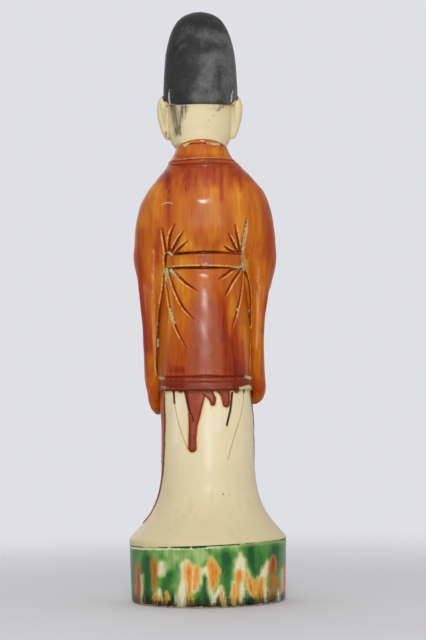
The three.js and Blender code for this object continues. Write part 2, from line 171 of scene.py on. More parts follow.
def ovals(z, x=0, y=0, wide=1, front=1, back=1, turn=0, tilt=0):
    """Oval rings, counter-clockwise from above. Front is -Y. A tilt lifts the back edge."""
    z, x, y, wide, front, back, turn, tilt = (
        value[:, None]
        for value in np.broadcast_arrays(np.atleast_1d(z), x, y, wide, front, back, turn, tilt)
    )
    angle = TURN * np.arange(RING_SIDES) / RING_SIDES
    across = wide * np.cos(angle)
    deep = np.where(np.sin(angle) > 0, back, front) * np.sin(angle)
    return np.stack([
        x + across * np.cos(turn) - deep * np.sin(turn),
        y + across * np.sin(turn) + deep * np.cos(turn),
        z + tilt * deep,
    ], 2)


def stack(rows, step=2.0):
    """Rings from rows of [height, x, y, half-width, front depth, back depth]."""
    heights = spaced(rows, step)
    return ovals(heights, *profile(rows)(heights))


def lump(x, y, z, wide, deep, high):
    """An egg-shaped lump."""
    angle = np.linspace(-math.pi / 2, math.pi / 2, 25)
    ring = np.maximum(np.cos(angle), 0.01)
    return ovals(z + high * np.sin(angle), x, y, wide * ring, deep * ring, deep * ring)


def shell(rings):
    """The points and triangles of a closed skin over stacked rings."""
    count, sides = rings.shape[:2]
    points = np.vstack([rings.reshape(-1, 3), rings[0].mean(0), rings[-1].mean(0)])
    around = np.arange(sides)
    after = np.roll(around, -1)
    low = np.arange(count - 1)[:, None] * sides
    a, b, c, d = low + around, low + after, low + sides + after, low + sides + around
    bottom, top = np.full(sides, count * sides), np.full(sides, count * sides + 1)
    last = (count - 1) * sides
    faces = [
        np.stack([a, b, c], 2).reshape(-1, 3), np.stack([a, c, d], 2).reshape(-1, 3),
        np.stack([bottom, after, around], 1), np.stack([top, last + around, last + after], 1),
    ]
    return points.astype(np.float32), np.vstack(faces).astype(np.uint32)


print("a ring has", RING_SIDES, "corners")

# %% [markdown]
# One block of clay
#
# Pieces of soft clay melt into each other where they are pressed together. Joined meshes meet
# in a hard crease instead, and rounding that crease afterwards is slow and fragile. So the clay
# is a block of cells, each of which holds its distance to the surface. Two distances join
# through a soft minimum, which fills the crease as a thumb would, by a radius of its own for
# each joint.

# %% The block
CELL = 1.0           # edge of a cell
BAND = 9             # cells on each side of the surface that hold true distances
MARGIN = 12.0        # clear space round the figure


class Clay:
    """A block of cells with signed distances in millimetres, below zero inside."""

    def __init__(self, low, high):
        self.low = np.floor(np.array(low) / CELL).astype(int)
        size = np.ceil(np.array(high) / CELL).astype(int) - self.low + 1
        self.field = np.full(size, BAND * CELL, np.float32)

    def window(self, rings):
        """The distances to one closed skin, and the part of the block that they cover."""
        points, faces = shell(rings)
        scale = openvdb.createLinearTransform(voxelSize=CELL)
        grid = openvdb.FloatGrid.createLevelSetFromPolygons(
            points, triangles=faces, transform=scale, halfWidth=BAND)
        start = np.maximum(np.floor(points.min(0) / CELL).astype(int) - BAND, self.low)
        stop = np.ceil(points.max(0) / CELL).astype(int) + BAND + 1
        stop = np.minimum(stop, self.low + self.field.shape)
        part = np.empty(stop - start, np.float32)
        grid.copyToArray(part, ijk=tuple(int(i) for i in start))
        where = tuple(slice(a, b) for a, b in zip(start - self.low, stop - self.low))
        return part, where

    def add(self, rings, soft):
        """Presses a form on, with a joint of about this softness."""
        part, where = self.window(rings)
        self.field[where] = soft_minimum(self.field[where], part, soft)

    def cut(self, rings, soft):
        """Scoops a form out."""
        part, where = self.window(rings)
        self.field[where] = -soft_minimum(-self.field[where], part, soft)

    def distance(self, points):
        """The distance at any points, from the eight cells round each."""
        place = np.asarray(points) / CELL - self.low
        place = np.clip(place, 0, np.array(self.field.shape) - 1.001)
        base = place.astype(int)
        t = place - base
        total = np.zeros(len(place))
        for corner in np.ndindex(2, 2, 2):
            weight = np.prod(np.where(corner, t, 1 - t), axis=1)
            total += weight * self.field[tuple((base + corner).T)]
        return total

    def outwards(self, points, step=CELL):
        """The direction in which the distance grows fastest."""
        return np.stack([
            self.distance(points + step * axis) - self.distance(points - step * axis)
            for axis in np.eye(3)
        ], 1) / (2 * step)

    def settle(self, points, rounds=4):
        """Moves points onto the surface."""
        for _ in range(rounds):
            slope = self.outwards(points)
            steep = np.maximum((slope ** 2).sum(1), 0.1)
            points = points - slope * (self.distance(points) / steep)[:, None]
        return points

    def met_by(self, starts, ways, rounds=160):
        """Where straight lines first meet the surface. Lines that miss it end far away."""
        points = np.array(starts, float)
        for _ in range(rounds):
            points += ways * (0.8 * self.distance(points))[:, None]
        return points

    def litres(self):
        """How much clay there is."""
        return round(float((self.field < 0).sum()) * CELL ** 3 / 1e6, 2)


def soft_minimum(a, b, soft):
    """The smaller of two distances, with the crease between them filled."""
    near = np.maximum(soft - np.abs(a - b), 0) / soft
    return np.minimum(a, b) - near * near * soft / 4


# %% [markdown]
# Drum and skirt
#
# The drum is thrown on a wheel, so it is nearly round, a little narrower at the foot, with a
# rounded lower edge. The skirt leaves its rim in a flare that dies away as it rises. An
# exponential gives that curve with two numbers, where drawn points would show flats.

# %% Drum and skirt
BASE_HEIGHT = 69.0
BASE_RADIUS = 86.5
BASE_TAPER = 1.8
BASE_EDGE = 3.5
FLARE_RISE = 29.0
FLARE_POWER = 1.3
SKIRT_TOP = 181.0
SKIRT_ROWS = [
    [69, 0, 0, 50, 46, 46], [80, -2, 0, 50, 46, 46], [190, -2, 0, 50, 46, 46],
    [231, 0, 0, 50, 46, 46], [250, 0, 0, 48, 44, 44],
]


def drum_and_skirt():
    foot = BASE_RADIUS - BASE_TAPER
    angle = np.linspace(0, math.pi / 2, 7)
    wall = np.linspace(5, BASE_HEIGHT - 1, 22)
    z = np.concatenate([BASE_EDGE * (1 - np.cos(angle)), wall])
    radius = np.concatenate([
        foot - BASE_EDGE * (1 - np.sin(angle)), foot + BASE_TAPER * wall / BASE_HEIGHT,
    ])
    drum = ovals(z, 0, 0, radius, radius, radius)
    rise = np.concatenate([np.linspace(1, 30, 20), np.linspace(32, SKIRT_TOP, 60)])
    x, y, wide, front, back = profile(SKIRT_ROWS)(BASE_HEIGHT + rise)
    share = np.exp(-((rise / FLARE_RISE) ** FLARE_POWER))
    grown = [size + (BASE_RADIUS - size) * share for size in (wide, front, back)]
    return np.vstack([drum, ovals(BASE_HEIGHT + rise, x * (1 - share), y, *grown)])


edge = BASE_RADIUS + MARGIN
clay = Clay((-edge, -edge, -MARGIN), (edge, edge, DRAWN_HEIGHT + MARGIN))
clay.add(drum_and_skirt(), soft=1)
print("the block has", clay.field.size, "cells, and", clay.litres(), "litres of clay so far")

# %% [markdown]
# Body, shoulders and arms
#
# The jacket is a stack of ovals that stands off the skirt at its hem. The shoulders are a
# second, wider stack, and each upper arm a third. They are joined softly, so the back runs
# over into the sleeves without a seam, as it does on the real figure.

# %% Jacket, shoulders and upper arms
JACKET_ROWS = [
    [231, 0, 0, 51.0, 47.0, 47.6], [233.5, 0, 0, 52.6, 48.5, 49], [247, 0, 0, 52.2, 48.3, 48.5],
    [300, 0, 0, 50, 47, 44], [340, 0, 0, 46, 44, 39], [368, 0, 0, 44, 41, 35.5],
    [383, 0, 0, 44.5, 41, 35.5], [400, 0, 0, 47, 40, 36], [440, -1, 0, 46, 33, 34],
    [480, 0, 1, 27.5, 24, 27], [515, 2, 2, 27, 24, 27],
]
SHOULDER_ROWS = [
    [361, -1.5, 0, 50, 14, 6], [368, -1.5, 0, 63, 26, 15], [376, -1.5, 0, 70, 33, 23],
    [386, -1.8, 0, 74.5, 36, 31], [398, -2.1, 0, 75.5, 38, 37.5],
    [414, -1.65, 0, 74.9, 39, 40], [435, -1.7, 0, 71.3, 38, 40], [451, -2.7, 0, 64.3, 35, 38],
    [462, -2.6, 0, 55.5, 33, 36], [468.5, -2.4, 0, 50, 31.5, 34.5], [476, -1.7, 0, 43, 29.5, 32.5],
    [483, -1, 0, 36.7, 27, 30.5], [488, -0.5, 0, 29, 22, 26],
]
UPPER_ARM_ROWS = [
    [318, 55, -5, 5, 8, 6], [334, 56, -5, 11, 15, 12], [350, 57.5, -5, 14.5, 22, 17],
    [372, 59.5, -5, 16.8, 26, 21], [398, 58.5, -5, 16.5, 27, 24], [420, 56, -5, 15, 25, 22],
    [440, 51, -5, 11, 20, 18], [455, 45, -5, 6, 12, 10],
]
RIGHT_ARM_SPREAD = 2.4


def mirrored(rows, spread=0.0):
    """The same rows on the other side of the body, moved out by spread."""
    return [[row[0], -row[1] - spread, *row[2:]] for row in rows]


clay.add(stack(JACKET_ROWS), soft=1.5)
clay.add(stack(SHOULDER_ROWS), soft=7)
clay.add(stack(UPPER_ARM_ROWS), soft=7)
clay.add(stack(mirrored(UPPER_ARM_ROWS, RIGHT_ARM_SPREAD)), soft=7)
print("with jacket and upper arms:", clay.litres(), "litres")

# %% [markdown]
# Sleeves
#
# Each sleeve hangs as a thick curtain from the forearm, and ends in a rounded point. One row
# gives the curtain's outer and inner end at a height, and half its thickness, which is easier
# to shape than a centre and an angle. The forearms are round limbs that lead to one lump in
# front of the chest: the hands, joined out of sight inside the sleeves.

# %% Sleeves, forearms and hands
LEFT_SLEEVE_ROWS = [
    [206.6, 54, -20, 52.5, -24, 1.6], [211.5, 56.5, -12, 50, -32, 5.6],
    [227, 60, -4, 44, -41, 9.8], [246, 63, 1, 40, -46, 11.5], [265, 64, 5, 36, -50, 12],
    [300, 66, 9, 26, -58, 12.5], [341, 69.5, 10, 16, -63, 14], [385, 73, 2, 6, -66, 16],
    [404, 66, -10, 8, -66, 13], [414, 56, -22, 12, -62, 7],
]
RIGHT_SLEEVE_ROWS = [
    [217, -55, -17, -51, -27, 3], [222, -59, -9, -49, -34, 8], [232, -62.5, -2, -43, -42, 11],
    [248, -61.5, 2, -40, -46, 11.5], [277, -61, 6, -33, -53, 12], [309, -63.5, 9, -24, -59, 12.5],
    [341, -69, 10, -16, -63, 14], [385, -75.5, 2, -6, -66, 16], [404, -68, -10, -8, -66, 13],
    [414, -58, -22, -12, -62, 7],
]
LIMB_SHAPE = [[-0.95, 0.25], [-0.75, 0.62], [-0.4, 0.9], [0, 1], [1, 1], [1.4, 0.9],
              [1.75, 0.62], [1.95, 0.25]]
ELBOWS_AND_WRISTS = [([57, -8, 381], [11, -60, 402]), ([-59, -8, 381], [-11, -60, 402])]
ELBOW_RADIUS, WRIST_RADIUS = 18.5, 15


def sleeve(rows):
    heights = spaced(rows, 2.5)
    outer_x, outer_y, inner_x, inner_y, thick = profile(rows)(heights)
    side = np.sign(outer_x[0])
    return ovals(
        heights, (outer_x + inner_x) / 2, (outer_y + inner_y) / 2,
        np.hypot(outer_x - inner_x, outer_y - inner_y) / 2, thick, thick,
        turn=np.arctan2((outer_y - inner_y) * side, (outer_x - inner_x) * side))


def turned(rings, way, place):
    """Rings that were stacked upwards, stacked along a direction instead."""
    spin = np.array(Vector((0, 0, 1)).rotation_difference(Vector(way)).to_matrix())
    return rings @ spin.T + place


def limb(start, end, start_radius, end_radius):
    """A round limb with domed ends."""
    start, end = np.array(start, float), np.array(end, float)
    length = np.linalg.norm(end - start)
    place, fullness = np.array(LIMB_SHAPE).T
    along = np.clip(place, 0, 1)
    radius = start_radius + (end_radius - start_radius) * along
    z = along * length + (place - along) * radius
    rings = ovals(z, 0, 0, *[radius * fullness] * 3)
    return turned(rings, (end - start) / length, start)


for rows in (LEFT_SLEEVE_ROWS, RIGHT_SLEEVE_ROWS):
    clay.add(sleeve(rows), soft=1.5)
for elbow, wrist in ELBOWS_AND_WRISTS:
    clay.add(limb(elbow, wrist, ELBOW_RADIUS, WRIST_RADIUS), soft=8)
joined_hands = lump(0, -65, 401, wide=17, deep=14, high=15)
clay.add(joined_hands, soft=6)
print("with sleeves and hands:", clay.litres(), "litres")

# %% [markdown]
# Collar, apron and shoes
#
# The collar stands up behind the neck and leans forward with it, so its rings are tilted and
# not level. The apron is the part of the skirt that falls straight in front of the legs, and
# the toes of the shoes come out from under it onto the drum.

# %% Collar, apron and shoes
COLLAR_RINGS = dict(
    z=np.array([478, 482.6, 484.2, 485.4, 488, 492, 495.5]),
    wide=np.array([35.8, 37.0, 36.6, 34.2, 32.6, 30.2, 28.2]),
    front=np.array([31, 32.2, 32.0, 30.0, 29.0, 27.4, 26.2]),
    back=np.array([32.6, 34.0, 33.7, 32.2, 31.6, 30.2, 29.4]),
    tilt=np.array([0.06, 0.07, 0.09, 0.11, 0.2, 0.32, 0.4]),
)
APRON_ROWS = [
    [98, 0, -30, 19, 33, 10], [103, 0, -30, 22.5, 31.5, 10], [120, 0, -30, 21, 24, 10],
    [150, 0, -30, 19, 19.5, 10], [245, 0, -30, 18, 18, 10],
]
SHOE_X = 21

clay.add(ovals(x=0.5, y=1.0, **COLLAR_RINGS), soft=1)
clay.add(stack(APRON_ROWS), soft=2)
for side in (-1, 1):
    shoe = lump(side * SHOE_X, -65.5, 80, wide=15, deep=19.5, high=12)
    clay.add(shoe, soft=3)
print("with collar, apron and shoes:", clay.litres(), "litres")

# %% [markdown]
# Head
#
# The photograph of the real figure shows only its nape. The face is a plain, calm one on school
# proportions: the eyes halfway up the head, the nose ending halfway from the brows to the chin,
# and the mouth a third of the way below it. Each feature is a soft lump or a small scoop, in
# the order in which a modeller would set them.

# %% Head and ears
HEAD_X = 2.2
EYE_X = 14.5         # from the middle of the face
HEAD_ROWS = [
    [488, 0, -2, 6, 24, 6], [490, 0, -2, 13, 31, 14], [494, 0, -2, 21, 35.5, 20],
    [500, 0, -2, 28, 37, 24], [507, 0, -2, 32.5, 37.5, 27], [515, 0, -2, 35, 38, 30],
    [525, 0, -2, 36.3, 38.5, 32.5], [545, 0, -2, 36.4, 38, 33.5], [560, 0, -2, 35, 35, 31],
]
EAR_ROWS = [
    [509, 35.5, 1, 2, 2, 2], [513, 36.5, 1, 4, 5, 4], [522, 38.5, 1, 5.2, 7.5, 6],
    [536, 41, 2, 5.9, 10, 8], [545, 41.5, 2, 5.6, 10.5, 8.5], [553, 40, 2, 5, 9, 7.5],
    [558, 38, 2, 2.5, 4, 4],
]
NOSE_ROWS = [
    [514, 0, -39, 4, 2.5, 3], [517, 0, -39, 6.4, 7.5, 3], [521, 0, -39, 5.8, 9, 3],
    [530, 0, -39, 3.8, 6.5, 3], [540, 0, -38.5, 3, 4.2, 3], [548, 0, -38, 3.4, 2.2, 3],
]


def at_head(rows):
    return [[row[0], row[1] + HEAD_X, *row[2:]] for row in rows]


clay.add(stack(at_head(HEAD_ROWS)), soft=3)
for rows in (EAR_ROWS, mirrored(EAR_ROWS)):
    clay.add(stack(at_head(rows), step=1.0), soft=1.5)
for side in (-1, 1):
    cheek = lump(HEAD_X + side * 21, -22, 517, wide=11, deep=13, high=13)
    eye_socket = lump(HEAD_X + side * EYE_X, -43.5, 538, wide=10, deep=6.5, high=5.5)
    ear_hollow = lump(HEAD_X + side * 45.5, -3.5, 537, wide=2.8, deep=4.0, high=7.5)
    clay.add(cheek, soft=8)
    clay.cut(eye_socket, soft=5)
    clay.cut(ear_hollow, soft=2)
chin = lump(HEAD_X, -33.5, 495, wide=10, deep=7.5, high=6.5)
clay.add(stack(at_head(NOSE_ROWS), step=1.0), soft=3)
clay.add(chin, soft=5)
print("with the head:", clay.litres(), "litres")

# %% Eyes, brows and lips
for side in (-1, 1):
    eyeball = lump(HEAD_X + side * EYE_X, -34.4, 536.8, wide=7.6, deep=4.6, high=4.4)
    brow_ridge = lump(HEAD_X + side * EYE_X, -33.4, 546.5, wide=10.5, deep=4.2, high=1.9)
    nose_wing = lump(HEAD_X + side * 5.2, -42.2, 518.4, wide=3.0, deep=4.4, high=3.0)
    nostril = lump(HEAD_X + side * 2.7, -45.3, 515.2, wide=1.3, deep=2.0, high=1.3)
    clay.add(eyeball, soft=1)
    clay.add(brow_ridge, soft=4)
    clay.add(nose_wing, soft=1.5)
    clay.cut(nostril, soft=0.8)
mouth_mound = lump(HEAD_X, -36.6, 509.4, wide=10, deep=3.0, high=5.5)
upper_lip = lump(HEAD_X, -38.2, 508.0, wide=7.8, deep=3.6, high=1.9)
lower_lip = lump(HEAD_X, -38.2, 503.9, wide=6.2, deep=3.4, high=2.0)
clay.add(mouth_mound, soft=4)
clay.add(upper_lip, soft=1)
clay.add(lower_lip, soft=1)
print("the eyes are", 2 * EYE_X, "mm apart")

# %% [markdown]
# Hat
#
# The hat is a soft court cap of gauze over a frame: a tall rounded back, wider than it is
# deep, and a lower dome over the forehead. Two stacks of ovals give both. It was painted black
# after the firing and never glazed.

# %% Hat
CROWN_ROWS = [
    [546.0, 1, 6, 38.2, 20, 29.6], [547.6, 1, 6, 39.2, 20, 30.4], [561, 1, 6, 40.9, 20, 31.4],
    [580, 1, 6, 40.1, 19, 30.4], [600, 1, 6, 38.3, 18, 27.6], [615, 1, 6, 35.4, 18, 24.6],
    [627, 1, 5, 31.7, 16.5, 21.5], [639, 1, 4, 25, 12.5, 15.8], [645.5, 1, 3, 17.5, 8.5, 10.4],
    [649, 1, 2, 8.5, 4.4, 5], [650, 1, 2, 2.4, 1.2, 1.4],
]
CAP_ROWS = [
    [555, 1, -3, 36.4, 36.8, 30], [557.5, 1, -3, 38.2, 39, 30], [563, 1, -3, 38.5, 39.6, 30],
    [575, 1, -3, 37, 37, 30], [590, 1, -3, 30, 29, 26], [598, 1, -3, 20, 19, 20],
    [603, 1, -3, 8, 7, 10],
]

clay.add(stack(CROWN_ROWS), soft=1)
clay.add(stack(CAP_ROWS), soft=3)
print("the whole figure is", clay.litres(), "litres")

# %% [markdown]
# Lines drawn in the clay
#
# A potter draws folds with a pointed tool. Each line here is a few places joined by a smooth
# curve, and the curve is thrown onto the clay: from the camera for the lines that the picture
# shows, and from in front for the hidden ones. Laying the points on the surface by hand would
# leave them above or below it. A place seen in the picture is [across, down] in its pixels, and
# a place in front is [x, height] in drawn millimetres.

# %% Curves thrown onto the clay
LINE_STEP = 0.7      # about how far the points of a line lie apart
CAST_FROM = 150.0    # how far from the axis a line starts its way to the clay
RING_POINTS = 700


def smooth_path(places):
    """Points along a smooth curve through places."""
    places = np.array(places, float)
    padded = np.vstack([2 * places[0] - places[1], places, 2 * places[-1] - places[-2]])
    pieces = []
    for a, b, c, d in zip(padded, padded[1:], padded[2:], padded[3:]):
        count = max(2, round(np.linalg.norm(c - b) / LINE_STEP))
        t = np.linspace(0, 1, count, endpoint=False)[:, None]
        pieces.append(0.5 * (2 * b + (c - a) * t + (2 * a - 5 * b + 4 * c - d) * t ** 2
                             + (3 * b - a - 3 * c + d) * t ** 3))
    return np.vstack(pieces + [places[-1:]])


def sighted(pixels):
    """A curve seen in the picture, laid on the clay."""
    ways = sight_lines(smooth_path(pixels))
    near = (np.linalg.norm(CAMERA_PLACE) - CAST_FROM) * ways + CAMERA_PLACE
    return clay.met_by(near, ways)


def thrown(places, side):
    """A curve of [x, height], laid on the clay from behind (1) or from in front (-1)."""
    flat = smooth_path(places)
    starts = np.stack([flat[:, 0], np.full(len(flat), side * CAST_FROM), flat[:, 1]], 1)
    return clay.met_by(starts, np.array([[0.0, -side, 0.0]]))


def ring_round(height):
    """A line round the figure at a height that may vary with the angle."""
    angle = np.radians(np.linspace(0, 360, RING_POINTS))
    ways = np.stack([-np.cos(angle), -np.sin(angle), np.zeros_like(angle)], 1)
    starts = -ways * CAST_FROM
    starts[:, 2] = height(angle)
    return clay.met_by(starts, ways)


# %% Folds, belt and hem, as they are seen behind
BELT_LINES = {
    "belt top": [[168.5, 254.9], [187, 253.1], [205.5, 252.4], [222, 252.7], [240.5, 254.6]],
    "belt foot": [[167, 268.5], [187, 267.7], [205.5, 267.6], [222, 267.7], [242, 268.6]],
    "belt left end": [[167.2, 253.8], [165.6, 257], [165.4, 267.6]],
    "belt right end": [[240.6, 253.8], [242, 258], [243.6, 269.4]],
}
COLLAR_LINES = {
    "rim": [[183.6, 146.0], [190, 143.8], [199, 143.0], [210, 143.1], [219.6, 144.4], [224, 146.4]],
    "welt top": [[171.6, 161.6], [188, 159.9], [204, 158.9], [220, 159.2], [236, 160.8]],
    "welt foot": [[170.2, 165.6], [188, 164.2], [204, 163.4], [221, 163.6], [237.4, 164.6]],
}
UPPER_FOLDS = {
    "left outer": [[165.9, 252.4], [164, 240], [162, 228]],
    "left second": [[169, 252.4], [169.2, 242], [171, 232.6], [175, 223.9]],
    "left third": [[170.6, 253.2], [174, 247.4], [178.6, 238.7], [184, 230.6]],
    "left inner": [[175.4, 252.8], [181.4, 246.6], [187.6, 241]],
    "right outer": [[241.6, 251.8], [243.8, 238], [245.3, 227], [246.3, 218.6]],
    "right second": [[239.8, 252.6], [239, 246.4], [236.7, 234.8], [235.2, 224.6]],
    "right third": [[238.2, 252.8], [235.6, 248.6], [231.8, 240.8], [228.2, 232.4]],
    "right inner": [[235, 252.8], [229, 249.8], [224.2, 246]],
}
LOWER_FOLDS = {
    "left long": [[166, 271], [166.2, 281], [168.3, 297], [170.9, 310.4], [175, 324.8],
                  [181, 338], [186.2, 347.4]],
    "left second": [[168.6, 271.4], [172.9, 285], [178, 297.2], [184.2, 308.6], [193.5, 318.8]],
    "left inner": [[172.4, 270.6], [179, 276.8], [187.2, 284], [196.6, 290.2]],
    "right long": [[242.6, 272.4], [241.2, 289], [238.2, 305.4], [234.2, 320.6], [231.8, 329.4]],
    "right second": [[240, 270.8], [233, 280.8], [228, 290], [224.7, 296.6]],
    "right inner": [[238.6, 268.4], [232, 269.8], [224, 275.7], [218.6, 279.4]],
}
SIDE_CREASES = {
    "left": [[164.9, 270], [163.2, 289], [160.7, 306.3], [158.7, 321.6], [157.4, 337],
             [156.8, 352.2], [156.9, 366], [159, 377]],
    "right": [[244.4, 270.6], [248.2, 281], [250.0, 295], [250.2, 311.4], [249.6, 327],
              [249.4, 342], [249.2, 362], [248.9, 376]],
}
HEM_LINES = {
    "hem top": [[158.6, 377.4], [182, 377], [205.5, 376.6], [229, 376.7], [249.4, 376.3]],
    "hem middle": [[164, 382.6], [182, 382.4], [205.5, 382.0], [229, 381.8], [247, 381.4]],
}
SLEEVE_CURL = [[252.6, 372], [252.8, 379], [253.4, 386], [255.8, 391.6]]
SKIRT_FOLDS = {
    "left outer": [[173.5, 391.6], [174.1, 396.4], [174.5, 404], [177, 418.8], [181.2, 433],
                   [187.2, 448.4]],
    "left inner": [[185, 391.6], [186.3, 400.4], [189.2, 409.6], [193.6, 420.6]],
    "right inner": [[232.2, 392.6], [230.4, 409.6], [226.8, 425.2]],
    "right outer": [[243.9, 390.6], [243.6, 401], [241.6, 413.8], [237, 429.4], [232, 445.3],
                    [228, 459.6]],
}
HAT_SLITS = {
    "left": [[169.3, 88], [168.8, 96], [169.8, 103.5]],
    "right": [[233, 88], [231.6, 96], [231.2, 101.5]],
}
print(len(UPPER_FOLDS) + len(LOWER_FOLDS), "folds leave the belt's ends behind")

# %% Folds in front and the incised line of the drum
BASE_LINE_DROP = 4.6
BASE_LINE_SLOPE = -0.031
BASE_LINE_RISE = 1.5
SLEEVE_BORDER = [[16, 374], [24, 330], [34, 292], [44, 250], [50, 224]]
ELBOW_FOLDS = [
    [[34, 384], [48, 344], [55, 290]], [[46, 392], [58, 360], [63, 318]],
    [[26, 390], [34, 362], [40, 338]], [[58, 372], [64, 346], [66, 300]],
]
CHEST_FOLDS = [[[48, 452], [40, 430], [28, 414]], [[56, 440], [48, 420], [36, 408]]]
TOE_LINE = [[7, 74], [7.5, 82], [13, 89.5], [21, 92], [29, 89.5], [34.5, 82], [35, 74]]
APRON_FOLDS = [[[32, 225], [31, 170], [42, 106]], [[46, 222], [47, 168], [60, 100]]]
LAPELS = [[[-27, 485], [-24, 474], [-13, 452], [15, 417]], [[28, 485], [24, 472], [14, 452], [2, 437]]]
SASH = [[2, 366], [1.5, 300], [1, 236]]
MOUTH = [[-8.2, 506.4], [-4, 505.8], [0, 506.2], [4, 505.8], [8.2, 506.4]]
UPPER_LID = [[-8.6, 535.2], [-5, 538.6], [0, 540.2], [5, 538.8], [8.4, 535.6]]
LOWER_LID = [[-7.4, 535.0], [-3, 533.4], [2, 533.0], [6.6, 534.4]]


def base_line(angle):
    behind = np.maximum(np.sin(angle), 0)
    across = BASE_RADIUS * np.cos(angle)
    return (BASE_HEIGHT - BASE_LINE_DROP + BASE_LINE_SLOPE * across
            + BASE_LINE_RISE * behind ** 2)


def flipped(places, side, x=0.0):
    """Places mirrored about the middle if side is -1, then moved across."""
    return [[side * place[0] + x, place[1]] for place in places]


print("each sleeve has", len(ELBOW_FOLDS), "folds in front")

# %% [markdown]
# The tool's strength
#
# A line starts where the tool bites and fades where it lifts. Each point of a line carries how
# deep it goes, and how far to its sides. A depth below zero raises the clay instead, which lays
# the lapels and the sash as flat bands with the same tool.

# %% Collect the lines and bands
DEEP = dict(depth=2.0, inner=0.2, outer=1.9)
FINE = dict(depth=1.0, inner=0.1, outer=1.2)
LID = dict(depth=0.55, inner=0.0, outer=0.8)
BELT = dict(depth=2.2, inner=0.3, outer=2.1)
RING = dict(depth=1.1, inner=0.2, outer=1.3)
FLAT_BAND = dict(depth=-1.5, inner=5.3, outer=6.2)
LIFT = 0.35                  # the share of a line over which the tool lifts
BITE = 0.3 * LIFT            # and that over which it bites


def tool_line(path, depth, inner, outer, start=1.0, end=0.25):
    """A path and the tool's depth, inner and outer reach at each of its points."""
    t = np.linspace(0, 1, len(path))
    strength = np.interp(t, [0, BITE, 1 - LIFT, 1], [start, 1, 1, end])
    ones = np.ones(len(path))
    return path, depth * strength, inner * ones, outer * (0.35 + 0.65 * strength)


cuts = [
    *(tool_line(sighted(p), **BELT, start=0.45, end=0.45) for p in BELT_LINES.values()),
    tool_line(sighted(SLEEVE_CURL), **FINE, end=0.6),
    *(tool_line(sighted(p), **FINE, start=0.4, end=0.4) for p in COLLAR_LINES.values()),
    *(tool_line(sighted(p), **DEEP) for p in (*UPPER_FOLDS.values(), *LOWER_FOLDS.values())),
    *(tool_line(sighted(p), **DEEP, end=0.9) for p in SIDE_CREASES.values()),
    tool_line(sighted(HEM_LINES["hem top"]), **DEEP, end=1.0),
    tool_line(sighted(HEM_LINES["hem middle"]), **FINE, end=1.0),
    *(tool_line(sighted(p), **FINE) for p in (*SKIRT_FOLDS.values(), *HAT_SLITS.values())),
    tool_line(ring_round(base_line), **RING, end=1.0),
]
for side in (-1, 1):
    eye = HEAD_X + side * EYE_X
    front_folds = (SLEEVE_BORDER, *ELBOW_FOLDS, *CHEST_FOLDS, *APRON_FOLDS)
    cuts += [
        *(tool_line(thrown(flipped(p, side), -1), **DEEP) for p in front_folds),
        tool_line(thrown(flipped(TOE_LINE, side), -1), **FINE, start=0.6, end=0.6),
        tool_line(thrown(flipped(UPPER_LID, side, eye), -1), **LID, end=0.6),
        tool_line(thrown(flipped(LOWER_LID, side, eye), -1), **LID, end=0.4),
    ]
cuts.append(tool_line(thrown(flipped(MOUTH, 1, HEAD_X), -1), **LID, end=1.0))
bands = [tool_line(thrown(p, -1), **FLAT_BAND, end=1.0) for p in (*LAPELS, SASH)]
print(len(cuts), "lines and", len(bands), "bands")


def joined_lines(name, lines):
    """One mesh of edges from many lines, with the tool's numbers on its points."""
    places = np.vstack([line[0] for line in lines])
    starts = np.cumsum([0] + [len(line[0]) for line in lines])
    edges = [(i, i + 1) for a, b in zip(starts, starts[1:]) for i in range(a, b - 1)]
    mesh = bpy.data.meshes.new(name)
    mesh.from_pydata((places * MM).tolist(), edges, [])
    for i, label in enumerate(("depth", "inner", "outer"), start=1):
        values = np.concatenate([line[i] for line in lines]) * MM
        mesh.attributes.new(label, "FLOAT", "POINT").data.foreach_set("value", values)
    return bpy.data.objects.new(name, mesh)


cut_lines, band_lines = joined_lines("drawn_lines", cuts), joined_lines("laid_bands", bands)

# %% [markdown]
# Glaze areas as strokes
#
# Each colour was laid with a loaded brush and ran down, so an area is a few strokes whose width
# changes along them: [across, down, half-width], in the picture's pixels. The place of a point
# within the nearest stroke is one number, above zero inside. It varies smoothly over the
# surface, so a shader can cut it at zero for a crisp edge, or over some width for a soft one.

# %% Distance into brush strokes
NOWHERE = -60.0


def stroke_field(places, strokes):
    """How far places lie inside the nearest stroke. Below zero is outside."""
    best = np.full(len(places), NOWHERE)
    for stroke in strokes:
        stroke = np.array(stroke, float)
        for start, end in zip(stroke, stroke[1:]):
            way = end[:2] - start[:2]
            t = np.clip((places - start[:2]) @ way / (way @ way), 0, 1)
            gap = np.linalg.norm(places - start[:2] - t[:, None] * way, axis=1)
            best = np.maximum(best, start[2] + (end[2] - start[2]) * t - gap)
    return best


# %% Strokes seen behind
RUNS = [
    [[196.2, 388, 10.2], [195.8, 395, 9.2], [195.4, 405, 7.2], [194.4, 415, 6.0], [193.2, 425, 4.4],
     [192.5, 438, 3.9], [192.4, 448, 4.3]],
    [[205, 386, 8], [208, 392, 5], [212.6, 399, 3.4], [212.9, 403, 2.7]],
    [[222, 386, 8], [225.2, 394, 4.8], [226.2, 404, 3.4]],
    [[181, 386, 5], [180.5, 390.4, 2.4]],
    [[236.6, 385, 5], [236.6, 390.4, 2.6]],
    [[170, 384, 5], [169, 388, 3]],
]
RUST_FLAMES = [
    [[138.0, 563, 0.9], [138.0, 570, 1.8], [138.4, 585, 2.0], [138.4, 604, 1.8]],
    [[154.0, 556, 2.2], [154.2, 561, 3.2], [154.6, 571, 2.3], [154.0, 584, 1.2], [153.9, 590, 0.8]],
    [[272.9, 556, 2.6], [272.6, 561, 3.8], [272.2, 573, 2.5], [272.1, 589, 1.8], [272.1, 603, 1.5]],
    [[278.6, 578, 0.7], [279.4, 590, 0.9]],
    [[284.4, 566, 0.5], [284.0, 603, 0.7]],
]
